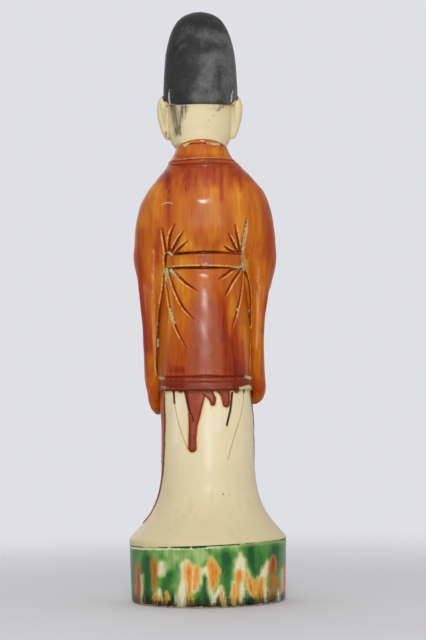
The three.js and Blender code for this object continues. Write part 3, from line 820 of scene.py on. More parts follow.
AMBER_FLAMES = [
    [[155.4, 595, 1.6], [155.4, 605, 1.8]],
    [[160.4, 598.4, 1.4], [164.4, 602, 2.1], [167.4, 599, 1.8], [166.6, 592.6, 1.1]],
    [[188.4, 564, 3.2], [188.9, 569, 4.5], [188.9, 577, 4.2], [189.8, 585, 2.5],
     [190.0, 594, 1.8], [190.8, 603, 2.2]],
    [[198.0, 568, 1.8], [197.2, 572, 2.9], [196.4, 580, 2.7], [196.2, 588.4, 1.2]],
    [[211.0, 558, 2.8], [212.4, 563, 4.4], [214.1, 571, 5.2], [213.6, 581, 4.2], [213.0, 588, 2.0]],
    [[220.8, 589, 0.5], [223.6, 604, 1.3]],
    [[239.4, 572, 2.6], [238.9, 576.6, 4.0], [238.4, 581, 3.0], [237.8, 588, 1.3], [237.2, 603, 2.1]],
    [[234.8, 585, 1.7], [233.8, 603, 1.6]],
    [[246.4, 573, 1.2], [248.8, 581, 2.6], [252.4, 590, 3.0], [254, 595, 1.6]],
    [[262.0, 580, 2.8], [260.0, 590, 4.0], [259.2, 595, 3.6], [258.0, 602, 2.2]],
    [[254, 582, 1.6], [256, 590, 2.2]],
]
CREAM_FLAMES = [
    [[141.3, 576, 0.9], [141.4, 604, 1.2]],
    [[161.4, 563.6, 2.6], [160.6, 573, 3.2]],
    [[159.0, 591, 1.2], [159.6, 598, 1.6]],
    [[187.6, 562, 2.6], [185.6, 566, 4.6], [189, 572, 6.6], [189.4, 580, 5.0], [190.6, 590, 3.2]],
    [[183.2, 568, 1.6], [183.6, 580, 1.8], [181.6, 592, 4.0], [181.4, 604, 5.0]],
    [[192.9, 580, 2.2], [193.0, 591, 1.6]],
    [[197.4, 571, 3.8], [196.6, 580, 3.3], [196.2, 589, 1.8]],
    [[204.6, 570, 3.2], [200.4, 574.6, 1.6], [199.6, 584, 0.9]],
    [[205.6, 570, 2.4], [208.6, 577, 1.4], [211.6, 590, 1.6], [211.8, 604, 1.8]],
    [[221.0, 588, 1.8], [216.4, 595, 2.6], [213.8, 601, 2.2]],
    [[221.2, 588, 1.4], [224.2, 604, 2.0]],
    [[240.5, 553.6, 1.1], [240.6, 563, 4.2], [240.6, 571, 5.9], [239.6, 580, 4.4]],
    [[241.8, 583, 2.7], [241.8, 601, 2.3]],
    [[235.0, 583, 2.2], [234.2, 604, 2.4]],
    [[246.0, 571, 1.4], [249.6, 583, 2.6], [253.4, 592, 3.0]],
    [[268.0, 562, 1.2], [265.4, 570, 2.6], [262.2, 579, 3.4], [264.6, 590, 2.8], [265.6, 601, 1.6]],
    [[283.2, 570, 1.1], [282.4, 592, 1.3]],
    [[279.0, 590, 1.0], [278.6, 602, 2.2]],
]
LINE_DASHES = [
    [[131.5, 545.3, 1.3], [142, 545.9, 1.5]], [[155.8, 544.0, 0.9], [162.6, 544.3, 0.8]],
    [[159, 547.0, 0.8], [167, 547.4, 0.8]], [[171.4, 546.6, 1.3], [189, 547.2, 1.6]],
    [[193, 547.2, 1.6], [205.4, 546.6, 1.3]], [[206, 546.0, 0.7], [239, 544.2, 0.7]],
    [[246.2, 543.0, 0.9], [254.4, 542.2, 1.1]], [[260.4, 541.2, 1.3], [285.6, 538.2, 1.4]],
]
print(len(RUNS), "runs and", len(AMBER_FLAMES) + len(CREAM_FLAMES), "amber and cream flames behind")

# %% [markdown]
# Uneven glaze and wear
#
# A brushed glaze is never one tone. It is thin and yellow where it was drawn off, red and brown
# where it lay thick, and chipped and dirty at edges. Noise alone would put this anywhere, so
# each kind of tone or wear has strokes of its own, and noise only frays them.
# Some strokes paint light and shade as well: highlights down the sleeves, the skirt and on the hat, the
# sheen of pooled glaze, and shade along the sleeves' outer edges.

# %% Wear, pooled glaze, stains, painted highlights and painted shade seen behind
BACK_STROKES = {
    "worn": [
        [[166, 270, 2.2], [166.4, 282, 1.2]], [[171.4, 270.4, 1.8], [178, 276.4, 1.0]],
        [[170.4, 309, 1.2], [174.4, 323, 1.2]], [[158.4, 339, 1.2], [157.8, 346, 1.0]],
        [[160.6, 377.4, 1.8], [164, 378, 1.0]], [[241.6, 255, 1.2], [243.6, 270, 1.4]],
        [[246.2, 222, 0.7], [242.6, 250, 1.5]], [[237.2, 308, 0.9], [237.6, 311, 0.9]],
        [[249.2, 310, 0.7], [249.6, 312, 0.7]], [[246, 376.4, 1.6], [250.4, 378, 1.4]],
        [[169, 252.6, 1.4], [171.4, 254.6, 1.2]], [[240.6, 267, 1.8], [234, 268, 0.8]],
        [[241, 388.4, 1.8], [249, 387.4, 2.6]], [[162, 387.4, 1.4], [168, 388.4, 1.0]],
        [[184.6, 145.2, 1.6], [189, 143.0, 1.0]], [[206.6, 142.8, 1.0], [219, 144.4, 1.2]],
    ],
    # Pooled glaze, whose mauve also paints the sheen of the lights down the middle of the jacket and on the
    # runs.
    "pooled": [
        [[203, 292, 5], [204, 306, 13], [206, 330, 16], [206, 360, 17], [206, 388, 17]],
        [[196, 386, 9], [194, 410, 6], [192.5, 452, 5]], [[206, 262, 7], [210, 263, 5]],
        [[222, 386, 8], [226, 404, 5]], [[205, 386, 6], [213, 403, 4]],
    ],
    "yellowed": [
        [[236, 196, 9], [240, 230, 5]], [[214, 192, 5], [214, 236, 4]],
        [[156, 190, 5], [158, 214, 4]], [[178, 276, 6], [182, 300, 4]],
        [[186, 244, 5], [196, 250, 3]], [[230, 246, 4], [222, 250, 3]],
        [[164, 262, 3], [163, 286, 3]], [[246, 262, 4], [247, 276, 3]],
        [[243, 330, 3], [246, 372, 3]], [[206, 151, 2], [226, 152, 3]],
        # The long strokes down the left sleeve, at the end of this line, and the right sleeve, on the next,
        # are painted highlight over thin yellow glaze.
        [[176, 262, 4], [194, 262, 3]], [[152.6, 300, 2], [156, 380, 2.4], [157, 412, 3]],
        [[254, 300, 2.4], [254.6, 366, 2.4], [255.6, 380, 3.0], [254.4, 391, 1.6]],
        [[170, 284, 2], [174, 320, 2]], [[232, 300, 2], [229, 330, 2]],
    ],
    "reddened": [
        [[200, 214, 0.5], [200, 236, 0]], [[211, 214, 0], [211, 232, 0.5]],
        [[160, 172, 6], [182, 169, 9], [205, 169, 11], [228, 170, 10], [250, 175, 7]],
        [[196, 176, 3], [196, 190, 1]], [[229, 178, 3], [229, 192, 1]], [[184, 176, 3], [184, 192, 1]],
        [[168.5, 176, 4.5], [169, 196, 3], [171, 226, 2]], [[178, 176, 3], [178, 188, 1.2]],
        [[189, 176, 3], [189.6, 194, 1]], [[203, 174, 3], [203, 183, 1]],
        [[214, 174, 3], [214, 186, 1]], [[221, 176, 3], [221.4, 200, 1]],
        # The strokes that start at [141, 232] and [267, 205] follow the sleeves' outer edges: painted shade
        # where they turn from the light, over the glaze's red.
        [[240, 176, 3], [240, 191, 1]], [[141, 232, 4], [143, 300, 5], [149, 350, 4]],
        [[267, 205, 4], [270, 262, 5], [264, 330, 4]], [[160, 230, 2], [155, 262, 3]],
        [[172, 370, 2.6], [184, 370, 3]], [[234, 320, 3], [238, 372, 6]],
        [[223, 276, 3], [226, 320, 4], [228, 370, 5]], [[160, 384, 4], [248, 384, 4]],
        [[258, 384, 4], [262, 394, 4]],
    ],
    "browned": [
        [[157, 400, 1.2], [159, 411, 2.4]], [[147, 394, 0.8], [152, 408, 2]],
        [[262, 392, 0.8], [258, 399, 1.6]],
        [[160, 385.4, 2.4], [205, 385.6, 3.4], [249, 384.6, 2.4]], [[161, 379.6, 1.4], [248, 379, 1.4]],
        [[243, 340, 1.2], [243.6, 374, 2.2]],
        # This stroke and the first on the next line follow the sleeves' outer edges: painted shade there,
        # over the glaze's brown.
        [[137, 250, 2], [142, 300, 3], [147, 372, 3.4], [151, 406, 3]],
        [[266, 330, 2], [264, 386, 4], [260, 396, 4]], [[176, 158, 3], [194, 155.4, 1.6]],
        [[185.4, 348, 0.6], [185.2, 388, 0.8]], [[231, 340, 0.8], [231.4, 388, 1.0]],
        [[163, 168, 2], [168, 176, 3], [168.6, 192, 1.4]], [[178, 166, 2], [236, 166, 2]],
        [[174, 168, 1], [176, 184, 0.2]], [[183, 168, 1.2], [184.4, 187, 0.3]],
        [[190, 170, 1.2], [190.4, 192, 0.4]], [[197, 168, 1], [197.4, 184, 0.2]],
        [[206, 168, 1.4], [206, 188, 0.5]], [[213.4, 170, 1], [213.4, 184, 0.2]],
        [[222, 170, 1.6], [222.4, 198, 0.7]], [[230, 168, 1], [230.6, 183, 0.3]],
        [[239, 170, 1.4], [240.8, 192, 0.5]], [[247, 174, 1], [250, 188, 0.3]],
        [[214.6, 276, 2], [219, 300, 3], [222, 340, 3]], [[193, 436, 2], [192.4, 449, 3.4]],
        [[212.9, 400, 1.6], [212.9, 402, 1.8]], [[226, 398, 1.4], [226.2, 402, 2.2]],
    ],
    "run_in": [
        [[173.4, 389, 1.6], [174.3, 403, 1.2]], [[185.1, 389, 1.8], [189.2, 409, 1.8], [193.8, 421, 1.2]],
        [[232.2, 390, 1.6], [230.5, 409, 1.6], [226.9, 425.4, 1.2]], [[243.9, 387, 1.2], [243.8, 393, 0.8]],
    ],
    # Painted highlight: a long pale streak down each sleeve, where its glaze catches the light.
    "broken": [
        [[153.4, 250, 0.4], [153.0, 280, 1.0], [153.4, 320, 1.1], [154.6, 350, 1.0], [156, 378, 0.5]],
        [[258.6, 266, 0.4], [258.2, 290, 1.0], [257.2, 330, 0.9], [256.2, 350, 0.3]],
    ],
    # Painted highlight: a soft pale column down the middle of the skirt, and fainter pale streaks beside it.
    "pale": [
        [[209, 396, 2], [208.6, 420, 3], [208.6, 446, 3.4], [209, 468, 2]],
        [[205, 418, 1], [206.4, 440, 1.4]], [[218, 400, 1], [219, 430, 1.6]], [[178, 400, 2], [176, 440, 2]],
    ],
    "scratched": [
        [[209.6, 119.6, 0.5], [214.4, 114.4, 0.7], [220.6, 106.4, 0.4]],
        [[205.8, 122.4, 0.3], [211.8, 117.6, 0.6]], [[222.4, 106, 0.6], [219.6, 110, 0.8]],
        [[160.4, 104, 0.5], [162.6, 116, 0.8], [165.8, 128, 0.5]], [[164, 110, 0.2], [167.4, 124, 0.3]],
        [[186, 108, 0.4], [184, 122, 0.6]], [[189.4, 106, 0.2], [188, 114, 0.4]],
        [[172, 106, 0.3], [171.4, 118, 0.3]],
    ],
    "light_green": [
        [[168, 553, 5], [180, 556, 6]], [[193, 552, 5], [205, 556, 6]], [[216, 548, 3], [238, 548, 3]],
        [[196, 570, 3], [203, 560, 4]], [[166, 568, 4], [172, 560, 4]],
    ],
    "deep_green": [
        [[147, 560, 5], [147, 600, 4]], [[134, 552, 3], [133, 600, 3]], [[203, 578, 3], [203, 594, 4]],
        [[226, 556, 5], [229, 600, 4]], [[253, 548, 6], [258, 568, 7]], [[170, 576, 5], [164, 590, 5]],
        [[175, 594, 5], [172, 604, 4]], [[276, 550, 5], [276, 570, 2]], [[250, 602, 5], [262, 604, 3]],
    ],
    "smeared": [
        [[174.2, 107, 4.0], [175.6, 118, 4.0], [177.6, 133, 3.0]],
        [[184.0, 106, 3.6], [181.6, 114, 3.2], [178.6, 124, 1.6]],
        [[222.6, 106, 0.6], [216, 111, 0.0]], [[214.6, 106, -0.4], [211.6, 110, -1.0]],
        [[177, 146, 0.9], [179.4, 143.6, 0.5]],
        [[166, 133, 1.2], [169, 138, 0.8]],
    ],
    "chalk": [
        [[161.5, 204.6, 0.2], [165, 202.8, 0.4], [169, 202.4, 0.5], [173, 203.6, 0.2]],
        [[170.4, 104.2, 0.5], [178, 105.4, 0.5], [188.6, 105.0, 0.3]],
        [[169.3, 90, 0.3], [169.0, 97, 0.8], [169.8, 104, 0.7]],
        [[233, 90, 0.3], [231.6, 97, 0.7], [231.2, 101.5, 0.5]],
    ],
    # Grey where the hat's paint rubbed off, and painted sheen on its right side and top, where the light
    # falls.
    "rubbed": [
        [[197, 97, 6], [216, 97, 7]], [[199, 59, 4], [213, 58, 8], [206, 84, 9]],
        [[180, 40, 3], [188, 31, 4], [204, 37, 6], [222, 38, 6]],
        [[230, 42, 4], [233, 60, 11], [235, 98, 13]], [[222, 56, 4], [226, 92, 5]],
    ],
    "speck": [
        [[223.2, 494, 0.9], [223.6, 494.4, 0.7]], [[228.4, 495, 0.45], [228.8, 495.2, 0.3]],
        [[170.3, 507.3, 0.5], [170.6, 507.5, 0.3]], [[250.4, 441, 0.4], [250.6, 441.4, 0.3]],
        [[210.6, 409.1, 0.6], [210.9, 409.3, 0.4]], [[259.6, 503.5, 0.4], [259.8, 503.8, 0.2]],
        [[211.1, 482, 0.3], [211.3, 482.4, 0.2]], [[224.9, 504.5, 0.4], [225.2, 504.6, 0.2]],
    ],
}
print(len(BACK_STROKES), "kinds of tone and wear")

# %% [markdown]
# The hidden side
#
# The photograph shows no front. Its glaze follows the same rules: an amber robe that runs down
# over the front of the skirt, and flames round the drum. They come from loops with a fixed
# seed, so they repeat the kind of stroke behind without copying any one of them.

# %% Flames and runs on the hidden side, in [arc, height, half-width] millimetres
FLAME_SPAN = 0.52 * math.pi * BASE_RADIUS
ROBE_ARC = 52.0      # radius on which the arcs of the robe's runs are measured
rng = np.random.default_rng(11)


def tongue(x, top, foot, wide, lean, end=0.4):
    """A stroke that starts wide and thins as it runs down."""
    middle, waist = 0.45 * top + 0.55 * foot, wide * (0.5 + end / 2)
    return [[x, top + 0.9 * wide, 0.5 * wide], [x, top, wide],
            [x + 0.4 * lean, middle, waist], [x + lean, foot, wide * end]]


def front_flames():
    """Flames round the front of the drum, by colour, placed by arc length from the front."""
    rust, amber, cream = [], [], []
    arc = -FLAME_SPAN
    while arc < FLAME_SPAN:
        wide, lean = rng.uniform(3.2, 6.2), rng.uniform(-3, 3)
        top, foot = rng.uniform(32, 50), rng.uniform(-4, 8)
        kind = rng.integers(4)
        if kind == 0:            # a thin streak of rust beside one of cream
            rust.append(tongue(arc, top + 6, foot - 4, 0.7 * wide, lean, 0.6))
            cream.append(tongue(arc + wide, top - 10, foot, 0.3 * wide, lean, 1.2))
        elif kind == 1:          # two tongues that meet
            amber.append(tongue(arc - wide, top, foot, wide, wide))
            amber.append(tongue(arc + wide, top - 8, foot + 2, 0.6 * wide, -wide))
            cream.append(tongue(arc - 1.4 * wide, top + 5, foot, 1.2 * wide, 0.4 * wide, 0.9))
        elif kind == 2:          # a pale flame with an amber heart that sits low
            cream.append(tongue(arc, top + 8, foot - 4, 0.4 * wide, lean, 3.0))
            amber.append(tongue(arc, 0.55 * top, foot - 4, 0.8 * wide, lean, 0.5))
        else:                    # a pale fork, open at the foot
            cream.append(tongue(arc, top - 6, foot, 0.4 * wide, 1.6 * wide, 1.0))
            cream.append(tongue(arc, top - 6, foot, 0.5 * wide, -1.8 * wide, 1.4))
            amber.append(tongue(arc + wide, 0.5 * top, foot - 4, 0.4 * wide, wide, 0.6))
        arc += 2.2 * wide + rng.uniform(3, 11)
    return {"rust": rust, "amber": amber, "cream": cream}


def front_runs():
    """Runs of amber glaze over the front of the skirt, as [arc, height, half-width]."""
    runs = [
        [[99, 233, 6.3], [96, 210, 6.5], [90, 150, 6.2], [86.5, 120, 5.2], [84.6, 90, 4.0]],
        [[86, 233, 9], [84, 190, 7], [79, 150, 4.5], [77, 126, 3.4]],
        [[72, 233, 9], [71, 180, 7], [68, 140, 4], [66, 112, 3.0]],
    ]
    arc = -70
    while arc < 62:
        wide, foot = rng.uniform(1.8, 4.4), rng.uniform(92, 136)
        lean = rng.uniform(-3, 3)
        runs.append([[arc, 176, 3 * wide], [arc + lean, (foot + 160) / 2, 1.5 * wide],
                     [arc + lean, foot + 8, 0.85 * wide], [arc + lean, foot, wide]])
        arc += 3 * wide + rng.uniform(2, 14)
    return runs


FRONT_FLAMES = front_flames()
FRONT_RUNS = front_runs()
print(sum(map(len, FRONT_FLAMES.values())), "flames and", len(FRONT_RUNS), "runs on the hidden side")

# %% Tones of the hidden side, in [x, height, half-width] millimetres
FRONT_STROKES = {
    "reddened": [
        [[-52, 452, 8], [-22, 468, 9], [22, 468, 9], [52, 452, 8]], [[-34, 452, 4], [-34, 428, 2]],
        [[-9, 456, 4], [-8, 434, 2]], [[14, 456, 4], [15, 430, 1.6]], [[41, 452, 4], [42, 420, 2]],
        # These two follow the sleeves' outer sides: painted shade there, as behind.
        [[-72, 404, 5], [-66, 300, 5], [-60, 232, 5]], [[70, 404, 5], [66, 300, 5], [58, 224, 5]],
        [[-24, 220, 4], [-22, 168, 7]], [[8, 224, 3], [10, 160, 6]], [[34, 210, 3], [34, 158, 6]],
        [[-30, 372, 3], [-38, 310, 3]], [[44, 372, 3], [52, 280, 3]],
    ],
    "browned": [
        [[-12, 346, 3], [-14, 250, 4]], [[12, 346, 3], [14, 250, 4]], [[-50, 226, 4], [-46, 216, 3]],
        [[50, 222, 4], [54, 212, 3]], [[0, 372, 5], [0, 350, 3]],
    ],
    "yellowed": [
        [[-44, 384, 5], [-46, 300, 4], [-50, 250, 4]], [[36, 384, 5], [42, 310, 4], [52, 244, 4]],
        [[-8, 402, 9], [10, 403, 9]], [[-58, 440, 5], [-60, 400, 5]], [[59, 438, 5], [61, 396, 5]],
        [[-6, 224, 3], [-7, 176, 4]], [[22, 216, 3], [24, 170, 4]],
    ],
}
print(sum(map(len, FRONT_STROKES.values())), "tones in front")

# %% Paint on the face, in [x, height, half-width] millimetres from its middle
BROW = [[-9.6, 545.6, 0.5], [-4, 548.4, 1.0], [3, 548.6, 1.0], [9.6, 545.8, 0.35]]
LID_LINE = [[-8.4, 535.4, 0.25], [-5, 538.4, 0.5], [0, 539.9, 0.6], [5, 538.6, 0.5], [8.8, 535.2, 0.3]]
IRIS = [[0.2, 536.6, 2.1], [0.2, 537.2, 2.1]]
LIPS = [
    [[-6.4, 506.8, 0.7], [-2.4, 508.6, 1.1], [0, 508.0, 1.0], [2.4, 508.6, 1.1], [6.4, 506.8, 0.7]],
    [[-5.2, 504.9, 0.7], [0, 503.6, 1.7], [5.2, 504.9, 0.7]],
]


def face_ink():
    """The brows, lash lines and irises of both eyes."""
    return [
        [[HEAD_X + side * (EYE_X + x), z, r] for x, z, r in stroke]
        for side in (-1, 1) for stroke in (BROW, LID_LINE, IRIS)
    ]


def lip_paint():
    return [[[x + HEAD_X, z, r] for x, z, r in stroke] for stroke in LIPS]


print(len(face_ink()), "strokes of ink on the face and", len(lip_paint()), "of red")

# %% [markdown]
# One number for each colour area
#
# Each area becomes a signed distance at every corner of the mesh. Where two rules meet, the
# larger of two distances joins areas and the smaller one keeps what they share.

# %% Where the amber of the robe ends
HEM_Z = 232.6
COLLAR_EDGE, COLLAR_TILT = 495.9, 0.4
SEEN_Y = -8.0                    # the photograph sees the runs as far forward as this
RUNS_FOOT_Z = 120.0
SLEEVE_FOOT_Z = 198.0
SLEEVE_CLEAR = 4.2               # what hangs further than half this off the skirt is sleeve
DRIPS_FOOT_Z = 72.0
LEFT_REACH = ([80, 90, 120, 150, 210, 233], [86, 97, 101, 106, 113, 116])   # heights, degrees
RIGHT_REACH = ([80, 120, 180, 200, 216, 233], [62, 76, 85, 92, 98, 106])
FRONT_EDGE_Z = 142.0             # about where the glaze ends in front, in two slow waves


def beyond(rows, points):
    """Roughly how far points lie outside a stack of ovals."""
    x, y, wide, front, back = profile(rows)(points[:, 2])
    deep = np.where(points[:, 1] > y, back, front)
    share = np.hypot((points[:, 0] - x) / wide, (points[:, 1] - y) / deep)
    return (share - 1) * np.sqrt(wide * deep)


def below_collar(points):
    return COLLAR_EDGE + COLLAR_TILT * (points[:, 1] - 1) - points[:, 2]


def robe_field(points):
    x, y, z = points.T
    sleeve = np.where((z > SLEEVE_FOOT_Z) & (z < HEM_Z + 8),
                      2 * beyond(SKIRT_ROWS, points) - SLEEVE_CLEAR, NOWHERE)
    runs = np.where((y > SEEN_Y) & (z > RUNS_FOOT_Z),
                    stroke_field(seen_at(points), RUNS) * PICTURE_MM, NOWHERE)
    around = np.degrees(np.arctan2(x, -y))
    span = np.where(x > 0, np.interp(z, *LEFT_REACH) - around, np.interp(z, *RIGHT_REACH) + around)
    edge = FRONT_EDGE_Z + 6 * np.sin(around / 11) + 3 * np.sin(around / 4.3 + 1)
    front = np.minimum(span * math.radians(1) * np.hypot(x, y), z - edge)
    unrolled = np.stack([np.radians(around) * ROBE_ARC, z], 1)
    drips = np.where(z > DRIPS_FOOT_Z, stroke_field(unrolled, FRONT_RUNS), NOWHERE)
    skirt = np.maximum.reduce([z - HEM_Z, sleeve, runs, front, drips])
    return np.minimum(skirt, below_collar(points))


# %% Where the paint of the hat ends, and the flames of the drum
HAT_Z = 545.4
HAT_SIDE_LIFT, HAT_FRONT_LIFT = 5.0, 9.8
HAT_X = 1.0
TEMPLE_X, TEMPLE_SPAN = 31.0, 7.0            # the hat's edge rises over each temple
FOREHEAD_Y, FOREHEAD_SPAN = 2.0, 8.0         # and towards the forehead
EAR_TOP_Z, EAR_CLEAR = 561.0, 1.2            # what stands off the hat below this is an ear
FLAMES_TOP_Z = 74.0
DASH_SPACING = 4.1


def hat_field(points):
    x, y, z = points.T
    ear = np.minimum(beyond(CROWN_ROWS, points), beyond(CAP_ROWS, points)) - EAR_CLEAR
    ear = np.where(z < EAR_TOP_Z, ear, NOWHERE)
    aside = np.clip((np.abs(x - HAT_X) - TEMPLE_X) / TEMPLE_SPAN, 0, 1) ** 2
    ahead = np.clip((FOREHEAD_Y - y) / FOREHEAD_SPAN, 0, 1) ** 2
    edge = HAT_Z + HAT_SIDE_LIFT * aside * (1 - ahead) + HAT_FRONT_LIFT * ahead
    return np.minimum(z - edge, -ear)


def drum_fields(points):
    """The incised line's side, and the three colours of the flames."""
    x, y, z = points.T
    angle = np.arctan2(y, x)
    made = {"drum": base_line(angle) - z}
    behind = y > 0
    pixels = seen_at(points)
    arc = np.arctan2(x, -y) * BASE_RADIUS
    unrolled = np.stack([arc, z], 1)
    for name, seen in (("rust", RUST_FLAMES), ("amber", AMBER_FLAMES), ("cream", CREAM_FLAMES)):
        back = stroke_field(pixels, seen) * PICTURE_MM
        front = stroke_field(unrolled, FRONT_FLAMES[name])
        made[name] = np.where(z > FLAMES_TOP_Z, NOWHERE, np.where(behind, back, front))
    made["dashes"] = np.where(behind, stroke_field(pixels, LINE_DASHES) * PICTURE_MM,
                              np.cos(arc / DASH_SPACING) * 2 - np.abs(made["drum"]) * 1.4)
    return made


# %% All areas
FACE_Y, FACE_FOOT_Z, FACE_TOP_Z = -20.0, 490.0, 550.0
CRISP = ("robe", "hat", "rust", "amber", "cream")        # areas with a sharp edge
THIN = ("ink", "lips", "dashes", "chalk", "speck")       # areas with a sharp edge that are thin


def fields(points):
    """All colour areas at the given points."""
    pixels = seen_at(points)
    behind = points[:, 1] > 0
    flat = points[:, [0, 2]]
    ahead = (points[:, 1] < FACE_Y) & (points[:, 2] > FACE_FOOT_Z)
    made = {"robe": robe_field(points), "hat": hat_field(points), **drum_fields(points)}
    for name, strokes in BACK_STROKES.items():
        back = np.minimum(stroke_field(pixels, strokes) * PICTURE_MM, points[:, 1])
        front = np.minimum(stroke_field(flat, FRONT_STROKES.get(name, [])), -points[:, 1])
        made[name] = np.where(behind, back, front)
    made["below_collar"] = below_collar(points)
    made["ink"] = np.where(ahead, stroke_field(flat, face_ink()), NOWHERE)
    made["lips"] = np.where(ahead, stroke_field(flat, lip_paint()), NOWHERE)
    return made


print(len(fields(np.zeros((1, 3)))), "areas")

# %% [markdown]
# A mesh with its faces where they are needed
#
# Plain walls need few faces and drawn lines need many. A mesh of one density is either too
# heavy or too coarse, and thinning a dense one leaves slivers that show in the gloss. So the
# block is first skinned with wide faces, and edges are then halved only near a drawn line, a
# band, a colour's edge or a sharp turn. After each round the corners are set back onto the clay.

# %% Wide faces over the clay
COARSE = 4           # cells to a face of the first skin


def skinned(clay, coarse):
    """The points and triangles of the clay's surface, at one face for each few cells."""
    thin = np.ascontiguousarray(clay.field[::coarse, ::coarse, ::coarse])
    grid = openvdb.FloatGrid(BAND * CELL)
    grid.copyFromArray(thin)
    points, triangles, quads = grid.convertToPolygons(0.0, 0.0)
    points = (points * coarse + clay.low) * CELL
    first, second = quads[:, [0, 1, 2]], quads[:, [0, 2, 3]]
    faces = np.vstack([triangles, first, second]).astype(int)
    a, b, c = (points[faces[:, i]] for i in range(3))
    volume = np.einsum("ij,ij->i", a, np.cross(b, c)).sum() / 6
    return points.astype(float), faces if volume > 0 else faces[:, ::-1]


def edges_of(faces, count):
    """Each edge once, and which edges the faces have on their three sides."""
    sides = np.sort(faces[:, [0, 1, 1, 2, 2, 0]].reshape(-1, 2), axis=1)
    keys, which = np.unique(sides[:, 0] * count + sides[:, 1], return_inverse=True)
    return np.stack([keys // count, keys % count], 1), which.reshape(-1, 3)


def evened(points, faces, rounds):
    """Points moved towards the middle of their neighbours, and back onto the clay."""
    ends, _ = edges_of(faces, len(points))
    counts = np.bincount(ends.ravel(), minlength=len(points))
    for _ in range(rounds):
        total = np.zeros_like(points)
        for axis in range(3):
            total[:, axis] = (
                np.bincount(ends[:, 0], points[ends[:, 1], axis], len(points))
                + np.bincount(ends[:, 1], points[ends[:, 0], axis], len(points)))
        middle = total / counts[:, None]
        outwards = clay.outwards(points)
        outwards /= np.maximum(np.linalg.norm(outwards, axis=1, keepdims=True), 0.1)
        slide = middle - points
        slide -= outwards * (slide * outwards).sum(1, keepdims=True)
        points = clay.settle(points + 0.5 * slide, 2)
    return points


points, faces = skinned(clay, COARSE)
points = evened(clay.settle(points), faces, 3)
print("the first skin has", len(faces), "triangles")

# %% Where small faces are wanted
FINE_EDGE = 0.9          # how long an edge may be at a drawn line
COLOUR_EDGE = 1.55       # at the edge of a colour
TURN_EDGE = 1.1          # at a sharp turn and in the face
WIDE_EDGE = 4.5          # and elsewhere
FACE_FRONT_Y = -24.0

line_tree = KDTree(sum(len(line[0]) for line in cuts + bands))
line_reach = np.concatenate([line[3] for line in cuts + bands])
for i, place in enumerate(np.vstack([line[0] for line in cuts + bands])):
    line_tree.insert(place, i)
line_tree.balance()


def wanted_edges(points):
    """How long an edge may be at each of these points."""
    found = [line_tree.find(p) for p in points]
    gap = np.array([f[2] - line_reach[f[1]] for f in found])
    wanted = np.clip(FINE_EDGE + gap, FINE_EDGE, WIDE_EDGE)
    made = fields(points)
    for names, edge in ((CRISP, COLOUR_EDGE), (THIN, FINE_EDGE)):
        near = np.min([np.abs(made[name]) for name in names], axis=0)
        wanted = np.minimum(wanted, np.clip(edge + near - 0.8, edge, WIDE_EDGE))
    _, y, z = points.T
    face = (y < FACE_FRONT_Y) & (z > FACE_FOOT_Z) & (z < FACE_TOP_Z)
    return np.where(face, np.minimum(wanted, TURN_EDGE), wanted)


print(len(line_reach), "points on all lines and bands")

# %% Halve the edges that are too long
SHARP_TURN = 0.91        # the cosine of the angle between two normals
SLACK = 1.3              # an edge is halved when it is this much longer than wanted


def halved(points, faces):
    """Halves each edge that is longer than wanted or turns sharply, and splits its faces."""
    ends, which = edges_of(faces, len(points))
    start, end = points[ends[:, 0]], points[ends[:, 1]]
    length = np.linalg.norm(end - start, axis=1)
    middle = (start + end) / 2
    outwards = clay.outwards(points, 0.7)
    outwards /= np.maximum(np.linalg.norm(outwards, axis=1, keepdims=True), 0.1)
    turn = (outwards[ends[:, 0]] * outwards[ends[:, 1]]).sum(1)
    split = (turn < SHARP_TURN) & (length > SLACK * TURN_EDGE)
    rest = np.flatnonzero(~split & (length > SLACK * FINE_EDGE))
    split[rest] = length[rest] > SLACK * wanted_edges(middle[rest])
    number = np.full(len(ends), -1)
    number[split] = len(points) + np.arange(split.sum())
    points = np.vstack([points, clay.settle(middle[split])])
    return points, split_faces(faces, number[which])


def split_faces(faces, middles):
    """Splits triangles at the middles of their sides, where a middle isn't -1."""
    made = []
    count = (middles >= 0).sum(1)
    made.append(faces[count == 0])
    for turn in range(3):
        corner = np.roll(faces, -turn, axis=1)
        middle = np.roll(middles, -turn, axis=1)
        (a, b, c), (ab, bc, _) = corner.T, middle.T
        one = (count == 1) & (ab >= 0)
        made += [np.stack([a, ab, c], 1)[one], np.stack([ab, b, c], 1)[one]]
        two = (count == 2) & (ab >= 0) & (bc >= 0)
        made += [np.stack(f, 1)[two] for f in ((ab, b, bc), (a, ab, bc), (a, bc, c))]
    (a, b, c), (ab, bc, ca) = faces.T, middles.T
    three = count == 3
    made += [np.stack(f, 1)[three] for f in ((a, ab, ca), (ab, b, bc), (ca, bc, c), (ab, bc, ca))]
    return np.vstack(made)


for _ in range(3):
    points, faces = halved(points, faces)
    points = evened(points, faces, 1)
    print("after halving:", len(faces), "triangles")

# %% Make one mesh object of it
def millimetre_mesh(name, points, faces):
    """A smooth-shaded mesh in metres from points in drawn millimetres."""
    made = bpy.data.meshes.new(name)
    made.from_pydata((points * MM).tolist(), [], faces.tolist())
    made.validate()
    made.shade_smooth()
    return made


figure = bpy.data.objects.new("tomb_figure", millimetre_mesh("tomb_figure", points, faces))
bpy.context.scene.collection.objects.link(figure)
earthenware = bpy.data.materials.new("earthenware")
print("the mesh has", len(figure.data.vertices), "corners")

# %% [markdown]
# Node trees written as sums
#
# A node tree drawn by hand can't be read in a script. Here a wire stands for one socket, and a
# sum or product of wires makes the math node for it, so a formula looks like a formula. All
# other nodes come from one method, which makes the settings first and the links last.

